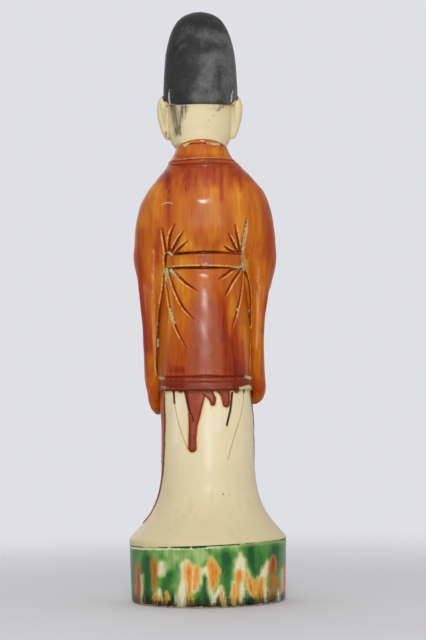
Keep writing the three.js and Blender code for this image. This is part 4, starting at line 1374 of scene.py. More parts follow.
# %% Wires and trees
class Wire:
    """One output of a node, for use in sums."""

    def __init__(self, tree, socket):
        self.tree, self.socket = tree, socket

    def math(self, operation, *others):
        return self.tree.math(operation, self, *others)

    def __add__(self, other):
        return self.math("ADD", other)

    def __sub__(self, other):
        return self.math("SUBTRACT", other)

    def __rsub__(self, other):
        return self.tree.math("SUBTRACT", other, self)

    def __mul__(self, other):
        return self.math("MULTIPLY", other)

    def __neg__(self):
        return self.math("MULTIPLY", -1.0)

    __radd__, __rmul__ = __add__, __mul__


class Tree:
    """Builds the nodes of one tree."""

    def __init__(self, tree):
        self.tree = tree

    def add(self, kind, values=None, output=0, stops=None, **settings):
        """One node. Settings come first, then a ramp's stops, then values or links."""
        node = self.tree.nodes.new(kind)
        for name, setting in settings.items():
            setattr(node, name, setting)
        if stops:
            ramp = node.color_ramp.elements
            ramp[0].position, ramp[1].position = stops[0][0], stops[-1][0]
            for place, _ in stops[1:-1]:
                ramp.new(place)
            for element, (_, colour) in zip(ramp, stops):
                element.color = colour
        for name, value in (values or {}).items():
            if isinstance(value, Wire):
                self.tree.links.new(value.socket, node.inputs[name])
            else:
                node.inputs[name].default_value = value
        return Wire(self, node.outputs[output]) if node.outputs else node

    def math(self, operation, *values):
        return self.add("ShaderNodeMath", dict(enumerate(values)), operation=operation)

    def step(self, value, low, high):
        """A smooth step from 0 at low to 1 at high."""
        return self.add("ShaderNodeMapRange", {0: value, 1: low, 2: high},
                        interpolation_type="SMOOTHSTEP")


# %% [markdown]
# The tool follows the lines
#
# One Geometry Nodes tree carves every groove and lays every band. Each corner of the mesh finds
# the nearest line, reads the tool's depth and reach there, and moves along its own normal. A
# little clay is pushed up beside a groove. The tree also keeps how far each corner is from its
# groove, which the glaze needs later, since it pools in there. Moving corners by hand-written
# loops would do the same, but the tree can be looked at and tried with other values.

# %% The tree that carves
tool = bpy.data.node_groups.new("follow lines", "GeometryNodeTree")
for label, kind in (("Clay", "Geometry"), ("Lines", "Object"), ("Lip", "Float"),
                    ("Millimetre", "Float"), ("Stored As", "String"), ("Fired", "Material")):
    tool.interface.new_socket(label, in_out="INPUT", socket_type="NodeSocket" + kind)
tool.interface.new_socket("Clay", in_out="OUTPUT", socket_type="NodeSocketGeometry")
nodes = Tree(tool)


def given(name):
    return nodes.add("NodeGroupInput", output=name)


drawn = nodes.add("GeometryNodeObjectInfo", {"Object": given("Lines")}, "Geometry",
                  transform_space="ORIGINAL")
nearest = nodes.add("GeometryNodeSampleNearest", {"Geometry": drawn}, domain="POINT")


def on_line(name):
    """What the nearest point of the lines carries under this name."""
    carried = nodes.add("GeometryNodeInputNamedAttribute", {"Name": name}, data_type="FLOAT")
    return nodes.add("GeometryNodeSampleIndex",
                     {"Geometry": drawn, "Value": carried, "Index": nearest},
                     data_type="FLOAT", domain="POINT")


gap = nodes.add("GeometryNodeProximity", {0: drawn}, "Distance", target_element="EDGES")
depth, inner, outer = on_line("depth"), on_line("inner"), on_line("outer")
groove = 1 - nodes.step(gap, inner, outer)
pushed_up = nodes.step(gap, outer * 0.7, outer * 1.2) - nodes.step(gap, outer * 1.2, outer * 2.2)
height = depth * (pushed_up * given("Lip") - groove)
offset = nodes.add("ShaderNodeVectorMath",
                   {0: nodes.add("GeometryNodeInputNormal"), "Scale": height}, operation="SCALE")
here = nodes.add("GeometryNodeInputPosition")
there = nodes.add("GeometryNodeProximity", {0: drawn}, "Position", target_element="EDGES")


def part(vector, axis):
    return nodes.add("ShaderNodeSeparateXYZ", {0: vector}, axis)


noted = given("Clay")
for name, length in ((given("Stored As"), gap), ("groove_reach", outer),
                     ("outer_side", part(here, "X").math("ABSOLUTE") - part(there, "X").math("ABSOLUTE")),
                     ("upper_side", part(here, "Z") - part(there, "Z"))):
    noted = nodes.add("GeometryNodeStoreNamedAttribute",
                      {"Geometry": noted, "Name": name,
                       "Value": length.math("DIVIDE", given("Millimetre"))},
                      data_type="FLOAT", domain="POINT")
moved = nodes.add("GeometryNodeSetPosition", {"Geometry": noted, "Offset": offset})
real = nodes.add("GeometryNodeRealizeInstances", {"Geometry": moved})
fired = nodes.add("GeometryNodeSetMaterial", {"Geometry": real, "Material": given("Fired")})
nodes.add("NodeGroupOutput", {"Clay": fired})
print("the carving tree has", len(tool.nodes), "nodes")

# %% Lay the bands, then carve
CUT_LIP = 0.16           # how high the clay is pushed up beside a groove, of its depth


def worked(thing, lines, lip, stored_as):
    """Runs the tool along the lines and keeps the result as the object's mesh."""
    modifier = thing.modifiers.new("tool", "NODES")
    modifier.node_group = tool
    for label, value in (("Lines", lines), ("Lip", lip), ("Millimetre", MM),
                         ("Stored As", stored_as), ("Fired", earthenware)):
        modifier[tool.interface.items_tree[label].identifier] = value
    graph = bpy.context.evaluated_depsgraph_get()
    thing.data = bpy.data.meshes.new_from_object(
        thing.evaluated_get(graph), preserve_all_data_layers=True, depsgraph=graph)
    thing.modifiers.remove(modifier)
    bpy.data.objects.remove(lines)


worked(figure, band_lines, 0.0, "band_gap")
worked(figure, cut_lines, CUT_LIP, "groove_gap")
mesh = figure.data
mesh.name = "tomb_figure"


def corners(mesh, what="position"):
    """The positions in drawn millimetres, or another attribute, of a mesh's corners."""
    if what != "position":
        values = np.empty(len(mesh.vertices))
        mesh.attributes[what].data.foreach_get("value", values)
        return values
    values = np.empty(3 * len(mesh.vertices))
    mesh.vertices.foreach_get("co", values)
    return values.reshape(-1, 3) / MM


def normals(mesh):
    values = np.empty(3 * len(mesh.vertices))
    mesh.vertex_normals.foreach_get("vector", values)
    return values.reshape(-1, 3)


print("groove gaps from", round(corners(mesh, "groove_gap").min(), 2), "millimetres")

# %% [markdown]
# The glaze has a thickness
#
# Lead glaze stands on the clay like thin syrup, with a bead at its lower edge and a fat drop at
# the end of each run. The corners are lifted by the glaze's own fields, so the drops catch the
# light by their shape and not only by their colour.

# %% Lift the glaze
ROBE_FILM, FILM_EDGE = 0.3, 0.8          # how thick it is, and how far in it gets so
ROBE_BEAD, BEAD_PLACE = 0.35, 1.3
RUN_SWELL, SWELL_WIDTH = 1.1, 2.4
RUNS_TOP_Z, RUNS_FADE = 228.0, 8.0       # the runs start to stand out below the jacket's hem
FLAME_SWELL, FLAME_WIDTH = 0.25, 1.2
DENTS = 0.16                             # how deep the dents of a hand-finished surface are
DENT_WAVES = 9
DENT_FREE_FOOT, DENT_FADE, DENT_FREE_TOP = 20.0, 60.0, 20.0


def dents(points):
    """The unevenness that a hand leaves, from a few waves across the surface."""
    waves = np.random.default_rng(3)
    total = np.zeros(len(points))
    for _ in range(DENT_WAVES):
        way = unit_vector(waves.normal(size=3)) * TURN / waves.uniform(15, 38)
        total += np.sin(points @ way + waves.uniform(0, TURN))
    return total / math.sqrt(DENT_WAVES)


places = corners(mesh)
made = fields(places)
inside = np.maximum(made["robe"], 0)
height = places[:, 2].copy()
film = ROBE_FILM * np.clip(inside / FILM_EDGE, 0, 1)
bead = ROBE_BEAD * np.exp(-(inside - BEAD_PLACE) ** 2) * (inside > 0)
on_skirt = np.clip((RUNS_TOP_Z - height) / RUNS_FADE, 0, 1)
swell = RUN_SWELL * (1 - np.exp(-inside / SWELL_WIDTH)) * on_skirt
flames = np.maximum.reduce([made["cream"], made["amber"], made["rust"], np.zeros(len(places))])
lift = film + bead + swell + FLAME_SWELL * (1 - np.exp(-flames / FLAME_WIDTH))
lift *= np.where(made["hat"] > 0, 0, 1)
handled = (np.clip((height - DENT_FREE_FOOT) / DENT_FADE, 0, 1)
           * np.clip((DRAWN_HEIGHT - height) / DENT_FREE_TOP, 0, 1))
lift += DENTS * dents(places) * handled * np.where(inside > 0, 1.3, 0.7)
places += normals(mesh) * lift[:, None]
places[:, 2] = np.maximum(places[:, 2], 0)
mesh.vertices.foreach_set("co", (places * MM).ravel())
mesh.update()
print("the thickest glaze is", round(lift.max(), 2), "millimetres")

# %% [markdown]
# Hollows and edges
#
# Glaze runs off sharp edges and gathers in hollows, which makes edges pale and hollows dark.
# How far two neighbouring normals open or close, for each millimetre between them, tells which
# is which.

# %% How sharply the surface bends
def bending(mesh, rounds=2):
    """The mean bend at each corner, above zero at an edge and below zero in a hollow."""
    count = len(mesh.vertices)
    ends = np.empty(2 * len(mesh.edges), int)
    mesh.edges.foreach_get("vertices", ends)
    a, b = ends.reshape(-1, 2).T
    places, outwards = corners(mesh), normals(mesh)
    way = places[b] - places[a]
    opening = ((outwards[b] - outwards[a]) * way).sum(1) / np.maximum((way * way).sum(1), 0.05)
    number = np.bincount(a, minlength=count) + np.bincount(b, minlength=count)
    bend = (np.bincount(a, opening, count) + np.bincount(b, opening, count)) / number
    for _ in range(rounds):
        around = np.bincount(a, bend[b], count) + np.bincount(b, bend[a], count)
        bend = (bend + around / number) / 2
    return bend


for name, values in {**fields(places), "bend": bending(mesh)}.items():
    mesh.attributes.new(name, "FLOAT", "POINT").data.foreach_set("value", values)
print("the mesh has", len(mesh.polygons), "triangles and", len(mesh.attributes), "attributes")

# %% [markdown]
# One fired surface
#
# The whole figure is one material, as it is one fired piece. Each part of it is written as a
# short function that gives a colour, and the stored distances choose between them. A distance
# is cut close to zero for an edge of glaze, and a little noise is added first so that the edge
# wavers as a brushed one does. Separate materials would need the mesh to be cut along each
# edge of colour.

# %% Brushes
earthenware.use_nodes = True
earthenware.node_tree.nodes.clear()
shader = Tree(earthenware.node_tree)
object_place = shader.add("ShaderNodeTexCoord", output="Object")
stored = {}


def area(name):
    """A stored distance, in millimetres, or bend."""
    if name not in stored:
        stored[name] = shader.add("ShaderNodeAttribute", output="Fac", attribute_name=name)
    return stored[name]


UNDER_LIGHTS = 0.70  # what the figure's colours are scaled by, as the lights brighten them


def screen(red, green, blue, scale=1.0):
    """A colour given as it looks on a screen, by the standard curve of screens."""
    linear = [((c + 0.055) / 1.055) ** 2.4 * scale for c in (red, green, blue)]
    return (*linear, 1.0)


def paint(red, green, blue):
    """A colour of the figure, given as it looks under the lights."""
    return screen(red, green, blue, UNDER_LIGHTS)


def stretched(across, up=None):
    """Places in drawn millimetres, times a scale across and one upwards."""
    up = across if up is None else up
    return shader.add("ShaderNodeVectorMath",
                      {0: object_place, 1: (across / MM, across / MM, up / MM)},
                      operation="MULTIPLY")


def noise(across, up=None, detail=2.0, seed=0.0, twist=0.0):
    """Noise about zero, mostly from -0.3 to 0.3, with so many waves for each millimetre."""
    return shader.add("ShaderNodeTexNoise", {
        "Vector": stretched(across, up), "W": seed, "Scale": 1.0, "Detail": detail,
        "Roughness": 0.55, "Distortion": twist,
    }, "Fac", noise_dimensions="4D") - 0.5


def over(under, colour, mask):
    """A colour laid over another where the mask is 1. Sockets 6, 7 and 2 carry colours."""
    return shader.add("ShaderNodeMix", {0: mask, 6: under, 7: colour}, 2, data_type="RGBA")


def rise(value, low, high):
    """0 while a value is below the first number, 1 once it is above the second."""
    return shader.step(value, low, high)


def fall(value, low, high):
    return 1 - rise(value, low, high)


def within(distance, soft, waver=0.0):
    """1 inside an area, 0 outside, over a soft edge and with a wavering line."""
    return rise(distance + waver, -soft, soft)


def ramp(value, *stops):
    return shader.add("ShaderNodeValToRGB", {"Fac": value}, stops=stops)


# %% Places on the figure, and noises that several finishes share
left_side, behind, up = (
    shader.add("ShaderNodeSeparateXYZ", {0: stretched(1.0)}, axis) for axis in "XYZ"
)


def above(low, high):
    """0 below the first height, 1 above the second, in drawn millimetres."""
    return rise(up, low, high)


def below(low, high):
    return fall(up, low, high)


on_back = rise(behind, -25, 0) * fall(left_side.math("ABSOLUTE"), 50, 53)
jacket = on_back * below(238, 330)
on_collar = above(480, 484)
streaks = noise(0.14, 0.009, detail=3.0, seed=1.0)
fine_streaks = noise(0.5, 0.03, detail=2.0, seed=2.0)
patches = noise(0.022, seed=3.0)
waver = noise(0.25, detail=3.0, seed=4.0)
fine_waver = noise(0.9, detail=2.0, seed=5.0)
print("places and shared noises take", len(earthenware.node_tree.nodes), "nodes")

# %% [markdown]
# The robe's amber
#
# Iron makes lead glaze amber: yellow where it is thin, red brown where it is thick. So one tone
# from 0 to 1 runs through a ramp of such colours, and the streaks, the strokes of tone, the
# edges and the hollows each push it up or down. Painting every streak by hand would leave no
# value to change. Where the glaze pooled below the belt it crazed, in a net of fine cracks.
# Some marks on the robe paint light and shade: the pool's mauve its sheen, pale and yellow streaks the
# highlights down the sleeves, red and brown strokes the shade along their outer edges, and a dark line the
# shadow under the hem.

# %% The robe's amber
DARK_BROWN, RED_BROWN = paint(0.47, 0.13, 0.02), paint(0.63, 0.21, 0.02)
ORANGE, AMBER = paint(0.74, 0.36, 0.03), paint(0.82, 0.49, 0.07)
# POOL_AND_SHEEN is pooled glaze with the painted sheen of the lights in it.
YELLOW, POOL_AND_SHEEN = paint(0.90, 0.69, 0.26), paint(0.60, 0.29, 0.21)
GROOVE, CRACK = paint(0.22, 0.05, 0.01), paint(0.40, 0.19, 0.12)
RUN_EDGE, RUN_IN = paint(0.40, 0.10, 0.02), paint(0.34, 0.09, 0.03)
CHIP, CHIP_DIRT = paint(0.90, 0.83, 0.62), paint(0.62, 0.52, 0.28)
# The first colour here is that of the painted highlights down the sleeves.
SLEEVE_HIGHLIGHT, LIP = paint(0.95, 0.71, 0.50), paint(1.0, 0.78, 0.44)


def robe():
    edge = rise(area("bend"), 0.12, 0.45)
    hollow = rise(-area("bend"), 0.06, 0.35)
    tone = (0.49 + streaks * 0.62 + fine_streaks * 0.32 + patches * 0.30
            # Yellowed strokes include painted highlight down the sleeves.
            + within(area("yellowed"), 6.0, streaks * 12) * 0.22
            # Reddened and browned strokes include painted shade along the sleeves' outer edges.
            - within(area("reddened"), 3.5, fine_streaks * 12) * 0.21
            - within(area("browned"), 2.4, fine_streaks * 12) * 0.17
            - jacket * 0.20 - on_collar * 0.05
            + edge * 0.35 - hollow * 0.22)
    colour = ramp(tone, (0.0, DARK_BROWN), (0.2, RED_BROWN), (0.45, ORANGE), (0.7, AMBER),
                  (1.0, YELLOW))
    # Pooled glaze; its mauve also paints the sheen of the lights on it.
    pool_and_sheen = within(area("pooled"), 6.0, streaks * 14)
    colour = over(colour, POOL_AND_SHEEN, pool_and_sheen * 0.66)
    cells = shader.add("ShaderNodeTexVoronoi", {"Vector": stretched(0.052), "W": 2.6, "Scale": 1.0},
                       "Distance", feature="DISTANCE_TO_EDGE", voronoi_dimensions="4D")
    crack = fall(cells + waver * 0.03, 0.0, 0.02) * pool_and_sheen
    colour = over(colour, CRACK, crack * rise(fine_waver + patches, -0.3, 0.2) * 0.8)
    rim = fall(area("robe") + waver * 1.6, 0.6, 3.4) * below(230, 236)
    colour = over(colour, RUN_EDGE, rim * 0.85)
    # Painted highlight: the pale streaks down the sleeves.
    colour = over(colour, SLEEVE_HIGHLIGHT, within(area("broken"), 1.7, fine_streaks * 3 + waver) * 0.62)
    # Painted shadow: a dark line on the back along the underside of the jacket's hem, where it overhangs the
    # skirt.
    under = rise(up + waver * 1.5, 231.2, 232.4) * below(233.6, 235.4)
    colour = over(colour, GROOVE, under * on_back * 0.75)
    band = area("band_gap")
    crest = rise(band, 3.6, 5.0) * fall(band, 5.0, 5.8)
    colour = over(colour, YELLOW, crest * 0.25)
    return over(colour, DARK_BROWN,
                rise(band, 5.2, 6.2) * fall(band, 6.4, 8.4) * 0.8)


# %% [markdown]
# Glaze in the grooves
#
# A groove fills with glaze and goes dark, while its lip keeps almost none and shows the pale
# clay. Both follow the stored distance from the groove, so they stay beside it on every side
# of the figure. Only the lip that faces up and outwards is made pale, which also paints the
# highlight that it catches.

# %% Grooves, lips and chips
def grooves(colour):
    """Glaze pools dark in each groove, and is pale and chipped along its lips."""
    gap, reach = area("groove_gap"), area("groove_reach")
    lip = rise(gap, reach * 0.7, reach) * fall(gap, reach, reach * 1.8)
    outside = rise(area("outer_side"), 0.2, 1.4)
    upper = rise(area("upper_side"), 0.5, 1.3)
    upper = upper * fall(area("outer_side").math("ABSOLUTE"), 0.2, 0.6)
    upper = upper * (1 - above(376, 380) * (1 - on_collar))
    side = shader.math("MAXIMUM", outside, upper)
    # Only the lip facing up and outwards is pale: thin glaze, and painted highlight where that lip catches
    # the light.
    lip = lip * side * rise(waver + fine_waver * 0.5, -0.24, 0.08) * above(250, 256)
    colour = over(colour, LIP, lip * rise(reach, 0.8, 1.6))
    gap = gap + fine_waver * 0.8 + waver * 1.0
    deep = rise(reach, 0.9, 1.7)
    colour = over(colour, RED_BROWN, fall(gap, reach * 0.6, reach * 1.2) * 0.8)
    belt = rise(reach, 1.92, 2.08)
    dark = fall(gap, reach * 0.2, reach * 0.85) * (0.35 + deep * 0.15 + belt * 0.45)
    colour = over(colour, GROOVE, dark)
    colour = over(colour, RUN_IN, fall(gap, 1.1, 2.0) * within(area("run_in"), 1.0))
    worn = area("worn") + waver * 5.0 + fine_waver * 7.0
    colour = over(colour, GROOVE, rise(worn, -1.0, -0.2) * 0.5)
    chip = over(CHIP, CHIP_DIRT, rise(fine_waver + waver * 0.6, -0.1, 0.3))
    colour = over(colour, chip, rise(worn, -0.2, 0.5))
    return over(colour, GROOVE, dark * rise(fine_waver - waver, 0.02, 0.14) * 0.9)


# %% [markdown]
# The skirt's cream and the drum's green
#
# The skirt has a clear glaze over pale clay, which stains to ochre beside the amber. The drum's
# glaze is green with copper, and flames of cream and amber were dabbed into it and ran. Each
# flame is laid on three times with the same distance, cut at three depths: a pale green fringe,
# the cream or yellow, and a burnt heart. One cut would look like a sticker.
# A pale column down the middle of the skirt is painted highlight.

# %% Colours of the skirt and the drum
CREAM, TAN = paint(0.935, 0.875, 0.715), paint(0.82, 0.76, 0.58)
OCHRE, FRINGE = paint(0.80, 0.62, 0.30), paint(0.84, 0.52, 0.14)
# The first colour here is that of the skirt's painted highlight.
SKIRT_HIGHLIGHT, SPECK = paint(0.975, 0.93, 0.81), paint(0.38, 0.32, 0.20)
PALE_GREEN, GREEN = paint(0.66, 0.76, 0.46), paint(0.34, 0.58, 0.25)
DARK_GREEN, NEAR_BLACK = paint(0.11, 0.35, 0.16), paint(0.05, 0.08, 0.06)
FLAME_CREAM, FLAME_YELLOW = paint(0.94, 0.89, 0.74), paint(0.93, 0.75, 0.36)
FLAME_ORANGE, RUST = paint(0.87, 0.49, 0.07), paint(0.66, 0.31, 0.07)
FLAME_BROWN = paint(0.45, 0.20, 0.06)
FOOT_CLAY = paint(0.86, 0.72, 0.56)

# %% The skirt's cream
def skirt():
    on_rim = above(60, 63)
    low = fall(up + patches * 90, 70, 190)
    colour = over(CREAM, TAN, low * 0.62 + rise(patches + streaks * 0.6, 0.0, 0.3) * 0.3)
    colour = over(colour, TAN, rise(streaks + fine_streaks * 0.7, 0.0, 0.35) * 0.35)
    # Painted highlight: a pale column down the middle of the skirt.
    colour = over(colour, SKIRT_HIGHLIGHT, within(area("pale"), 4.4, fine_streaks * 9) * 0.85)
    halo = rise(area("robe") + waver * 2, -3.6, 0.0)
    colour = over(colour, OCHRE, halo * 0.35)
    colour = over(colour, FRINGE, rise(area("robe") + fine_waver, -1.7, 0.2) * 0.75)
    colour = over(colour, OCHRE, rise(-area("bend"), 0.05, 0.3) * 0.6)
    gap = area("groove_gap") + fine_waver * 0.6
    line = fall(gap, 0.5, 1.4) * (1 - within(area("drum"), 4.0))
    colour = over(colour, OCHRE, line * 0.6)
    colour = over(colour, RUN_IN, fall(gap, 1.1, 2.3) * within(area("run_in"), 1.0))
    wash = rise(area("drum") + waver * 3, -4.0, -0.5) * fall(left_side, -45, -15)
    colour = over(colour, PALE_GREEN, wash * on_rim * 0.8)
    return over(colour, SPECK, within(area("speck"), 0.35, fine_waver * 0.6) * 0.7)


# %% The drum's green and its flames
def drum():
    drifts = noise(0.05, 0.012, detail=3.0, seed=12.0)
    mottles = noise(0.07, 0.05, detail=3.0, seed=13.0)
    tone = (0.48 - streaks * 0.5 - fine_streaks * 0.22 - drifts * 0.6 - mottles * 0.9
            + within(area("deep_green"), 4.5, streaks * 10) * 0.30
            - within(area("light_green"), 4.5, streaks * 10) * 0.28)
    colour = ramp(tone, (0.1, PALE_GREEN), (0.45, GREEN), (0.85, DARK_GREEN))
    foot = fall(up + streaks * 34 + waver * 12, 3, 18)
    colour = over(colour, NEAR_BLACK, foot * 0.8)
    trickle = rise(fine_streaks * 1.4 + streaks + mottles, 0.1, 0.42)
    colour = over(colour, NEAR_BLACK, trickle * below(14, 50) * 0.55)
    drift = (fine_streaks * 2.6 + noise(0.18, 0.07, detail=4.0, seed=6.0) * 7.0
             + noise(0.35, 0.25, detail=3.0, seed=14.0) * 3.0)
    fading = above(38, 58)
    cream, amber = area("cream") + drift, area("amber") + drift - fading * 1.2
    rust = area("rust") + drift - fading * 2.4
    colour = over(colour, PALE_GREEN, rise(cream, -4.0, -0.2) * 0.7)
    pale = over(FLAME_CREAM, PALE_GREEN, rise(fine_streaks - streaks, 0.0, 0.35) * 0.7)
    colour = over(colour, pale, rise(cream, -2.2, 2.4))
    colour = over(colour, FLAME_YELLOW, rise(amber, -2.8, 1.0) * 0.85)
    low = below(8, 34)
    burn = rise(mottles + waver * 0.6 + fine_streaks * 0.7 + low * 0.1, 0.0, 0.3)
    hot = over(over(FLAME_ORANGE, FLAME_YELLOW, fading * 0.4), RUST, burn * (0.35 + low * 0.5))
    colour = over(colour, hot, rise(amber + fine_streaks * 6.0, -2.0, 5.0))
    colour = over(colour, FLAME_ORANGE, rise(rust, -2.4, 0.4) * 0.75)
    burnt = over(RUST, FLAME_BROWN, rise(fine_streaks - streaks, 0.0, 0.3) * 0.7)
    colour = over(colour, burnt, rise(rust + fine_streaks * 5.0, -1.6, 3.4))
    creases = rise(fine_streaks - mottles * 0.5, 0.12, 0.34) * below(10, 40)
    colour = over(colour, FLAME_BROWN, creases * rise(amber, -2.0, 2.0) * 0.6)
    scorched = fall(up + waver * 16 + fine_streaks * 30 - streaks * 12, 3, 14)
    return over(colour, NEAR_BLACK, scorched * (0.85 - rise(cream, -1, 2) * 0.4))


def drum_edge(colour):
    """The incised line at the top of the green, with its pale lower lip and dark dashes."""
    edge = area("drum")
    pale = within(edge, 0.5) * fall(edge + waver * 4, 0.8, 2.8)
    colour = over(colour, FLAME_CREAM, pale * (0.15 + 0.7 * rise(left_side, -40, 10)))
    dash = within(area("dashes"), 0.5, waver) * fall(area("groove_gap"), 1.2, 2.2)
    return over(colour, DARK_GREEN, dash)


# %% [markdown]
# The bare clay and the painted hat
#
# Head and neck stayed bare, as on the real ones, where brows, eyes and lips were painted cold
# after the firing. The hat's black was brushed on and has rubbed off to grey, so a swirling
# noise mixes the two, more of it on the ridge and the rim. Grey strokes on its right side and
# top also paint the sheen of the light there.

# %% The bare clay and the painted hat
CLAY, CLAY_WARM = paint(0.90, 0.84, 0.67), paint(0.93, 0.84, 0.64)
SOOT, INK = paint(0.20, 0.17, 0.13), paint(0.10, 0.08, 0.07)
LIP_RED, CHALK = paint(0.66, 0.20, 0.15), paint(0.90, 0.88, 0.84)
# The second colour here is the hat's worn paint and its painted sheen.
CHARCOAL, RUBBED_AND_SHEEN_GREY = paint(0.175, 0.178, 0.172), paint(0.445, 0.447, 0.435)


def head():
    colour = over(CLAY, CLAY_WARM, rise(patches + waver * 0.5, -0.1, 0.2))
    smear = within(area("smeared"), 3.4, fine_streaks * 9 + waver * 3)
    colour = over(colour, SOOT, smear * (0.72 + fine_streaks * 1.0))
    scratch = within(area("scratched"), 0.8, fine_waver * 2.4)
    colour = over(colour, SOOT, scratch * 0.45)
    colour = over(colour, LIP_RED, within(area("lips"), 0.3, fine_waver * 0.4) * 0.85)
    return over(colour, INK, within(area("ink"), 0.25, fine_waver * 0.3))


def hat():
    swirls = noise(0.035, detail=5.0, seed=8.0, twist=1.6)
    brushed = noise(0.12, detail=4.0, seed=9.0, twist=2.2)
    scrubbed = noise(0.42, 0.16, detail=4.0, seed=10.0, twist=2.6)
    # Where the hat's paint rubbed off, with painted sheen on its right side and top.
    bright = within(area("rubbed"), 9.0, swirls * 14)
    rub_and_sheen = rise(swirls * 0.5 + brushed * 0.6 + scrubbed * 0.55 + bright * 0.44, -0.08, 0.82)
    return over(CHARCOAL, RUBBED_AND_SHEEN_GREY, rub_and_sheen)


# %% [markdown]
# Put the colours together
#
# The areas are laid over each other in the order of the work: glaze over clay, green over the
# drum, amber over all that it ran across, and the cold black last. Each mask is one stored
# distance, cut within a fraction of a millimetre.

# %% Put the colours together
robe_mask = within(area("robe"), 0.25, waver * 1.2)
drum_mask = within(area("drum"), 0.4)
hat_mask = within(area("hat"), 0.3, fine_waver * 0.5)
glazed = shader.math("MAXIMUM", robe_mask, rise(area("below_collar"), -0.5, 0.5))
foot_bare = fall(up + waver * 5, 1.0, 2.2)

colour = over(head(), skirt(), glazed)
colour = over(colour, drum(), drum_mask)
colour = drum_edge(colour)
colour = over(colour, FOOT_CLAY, foot_bare)
colour = over(colour, grooves(robe()), robe_mask)
colour = over(colour, hat(), hat_mask)
colour = over(colour, CHALK, within(area("chalk"), 0.3, fine_waver * 2.2) * 0.7)
print("the colours take", len(earthenware.node_tree.nodes), "nodes")

# %% [markdown]
# Gloss
#
# Old lead glaze has a thin glossy skin over a duller body, which gives a sharp highlight inside
# a wide, weak one. A coat over a rougher base does that, where a single gloss would look like
# plastic. Bare clay, the hat and the worn foot have no coat, and the glaze ripples a little.

# %% Gloss and ripple
GLAZE_ROUGHNESS, COAT_ROUGHNESS = 0.33, 0.12
CLAY_ROUGHNESS, HAT_ROUGHNESS = 0.62, 0.50
REFLECTION = 0.13        # of the body under the coat, where 0.5 is that of bare glass
RIPPLE_STRENGTH, RIPPLE_HEIGHT = 0.35, 0.4
crazed = on_back * robe_mask * above(231, 236) * below(335, 350)
duller = above(335, 365) * robe_mask * 0.15 + (1 - robe_mask) * (1 - drum_mask) * 0.10
roughness = (CLAY_ROUGHNESS + glazed * (GLAZE_ROUGHNESS - CLAY_ROUGHNESS + duller)
             + hat_mask * (HAT_ROUGHNESS - CLAY_ROUGHNESS) + streaks * glazed * 0.1
             + foot_bare * 0.4)
coated = (0.02 + 0.13 * shader.math("MAXIMUM", robe_mask, drum_mask)
          + robe_mask * above(400, 430) * 0.09 - crazed * 0.09)
glossy = glazed * (1 - foot_bare) * coated
ripple = (streaks * 1.2 + patches * 2.0) * glazed + waver * 0.12
bumped = shader.add("ShaderNodeBump", {
    "Strength": RIPPLE_STRENGTH, "Distance": RIPPLE_HEIGHT * MM, "Height": ripple,
}, "Normal")
surface = shader.add("ShaderNodeBsdfPrincipled", {
    "Base Color": colour, "Roughness": roughness, "Normal": bumped,
    "Specular IOR Level": REFLECTION, "Coat Weight": glossy, "Coat Roughness": COAT_ROUGHNESS,
})
shader.add("ShaderNodeOutputMaterial", {"Surface": surface})
print("the material has", len(earthenware.node_tree.nodes), "nodes")

# %% [markdown]
# One piece for the frame
#
# Nothing on the figure moves or lifts off, so the whole of it rides on the body that stands
# still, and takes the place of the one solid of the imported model.

# %% Tell the frame what this piece is
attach(figure, "root")
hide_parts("figure")
print("tomb_figure has", len(figure.data.vertices), "corners")

# %% [markdown]
# Floor and light
#
# The floor is a disc that fades into the colour of the room, so no horizon crosses the picture
# from any side. A small lamp inside a wider glow hangs above the camera, and gives the glaze
# highlights with a bright core and a soft edge, which one lamp of either size would not. A low
# wide one lights the skirt and a large one the front. The room itself fills the shadows.

# %% Floor and room
ROOM = screen(0.875, 0.877, 0.897)
ROOM_STRENGTH = 1.0
FLOOR_COLOUR = screen(0.755, 0.75, 0.75)
FLOOR_RADIUS, FLOOR_SIDES = 1.1, 96
FLOOR_ROUGHNESS, FLOOR_REFLECTION = 0.9, 0.1
FADE_START, FADE_END = 0.3, 1.05

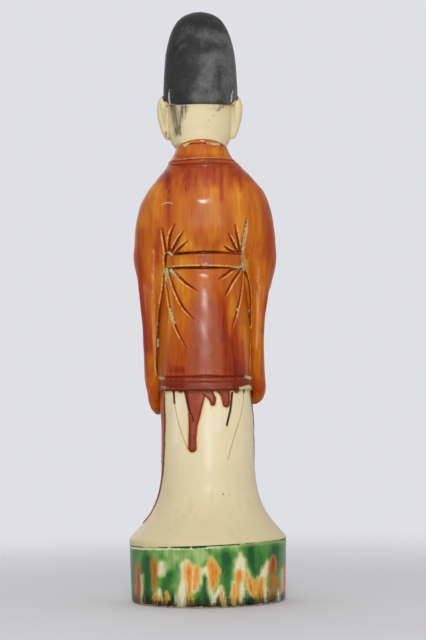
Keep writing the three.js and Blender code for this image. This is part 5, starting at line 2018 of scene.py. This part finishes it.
world = bpy.data.worlds.new("room")
bpy.context.scene.world = world
world.use_nodes = True
world.node_tree.nodes["Background"].inputs["Color"].default_value = ROOM
world.node_tree.nodes["Background"].inputs["Strength"].default_value = ROOM_STRENGTH

rim = [(FLOOR_RADIUS * math.cos(a), FLOOR_RADIUS * math.sin(a), 0)
       for a in np.linspace(0, TURN, FLOOR_SIDES, endpoint=False)]
floor_mesh = bpy.data.meshes.new("floor")
floor_mesh.from_pydata(rim, [], [tuple(range(len(rim)))])
floor = bpy.data.objects.new("floor", floor_mesh)
bpy.context.scene.collection.objects.link(floor)
paper = bpy.data.materials.new("paper")
floor_mesh.materials.append(paper)
paper.use_nodes = True
paper.node_tree.nodes.clear()
sheet = Tree(paper.node_tree)
away = sheet.add("ShaderNodeVectorMath", {0: sheet.add("ShaderNodeTexCoord", output="Object")},
                 "Value", operation="LENGTH")
sheet.add("ShaderNodeOutputMaterial", {"Surface": sheet.add("ShaderNodeBsdfPrincipled", {
    "Base Color": FLOOR_COLOUR, "Roughness": FLOOR_ROUGHNESS,
    "Specular IOR Level": FLOOR_REFLECTION, "Alpha": 1 - sheet.step(away, FADE_START, FADE_END),
})})
print("the floor is", 2 * FLOOR_RADIUS, "metres wide")

# %% Lights
LIGHTS = [           # name, place and size in metres, power in watts
    ("key", (0.02, 2.6, 1.08), (0.46, 0.12), 18),
    ("key glow", (0.02, 2.62, 1.08), (0.9, 0.46), 22),
    ("lower", (-0.2, 2.7, 0.50), (1.6, 0.9), 10),
    ("front", (0.8, -3.0, 1.9), (4.5, 3.5), 34),
]


def soft_light(name, place, size, power):
    """A soft box that faces the middle of the figure."""
    made = bpy.data.objects.new(name, bpy.data.lights.new(name, "AREA"))
    bpy.context.scene.collection.objects.link(made)
    made.data.shape = "ELLIPSE"
    made.data.size, made.data.size_y = size
    made.data.energy = power
    made.location = place
    way = Vector(place) - Vector((0, 0, 0.5 * DRAWN_HEIGHT * MM))
    made.rotation_euler = way.to_track_quat("Z", "Y").to_euler()


for light in LIGHTS:
    soft_light(*light)
bpy.context.scene.view_settings.view_transform = "Standard"
print(len(LIGHTS), "lights")
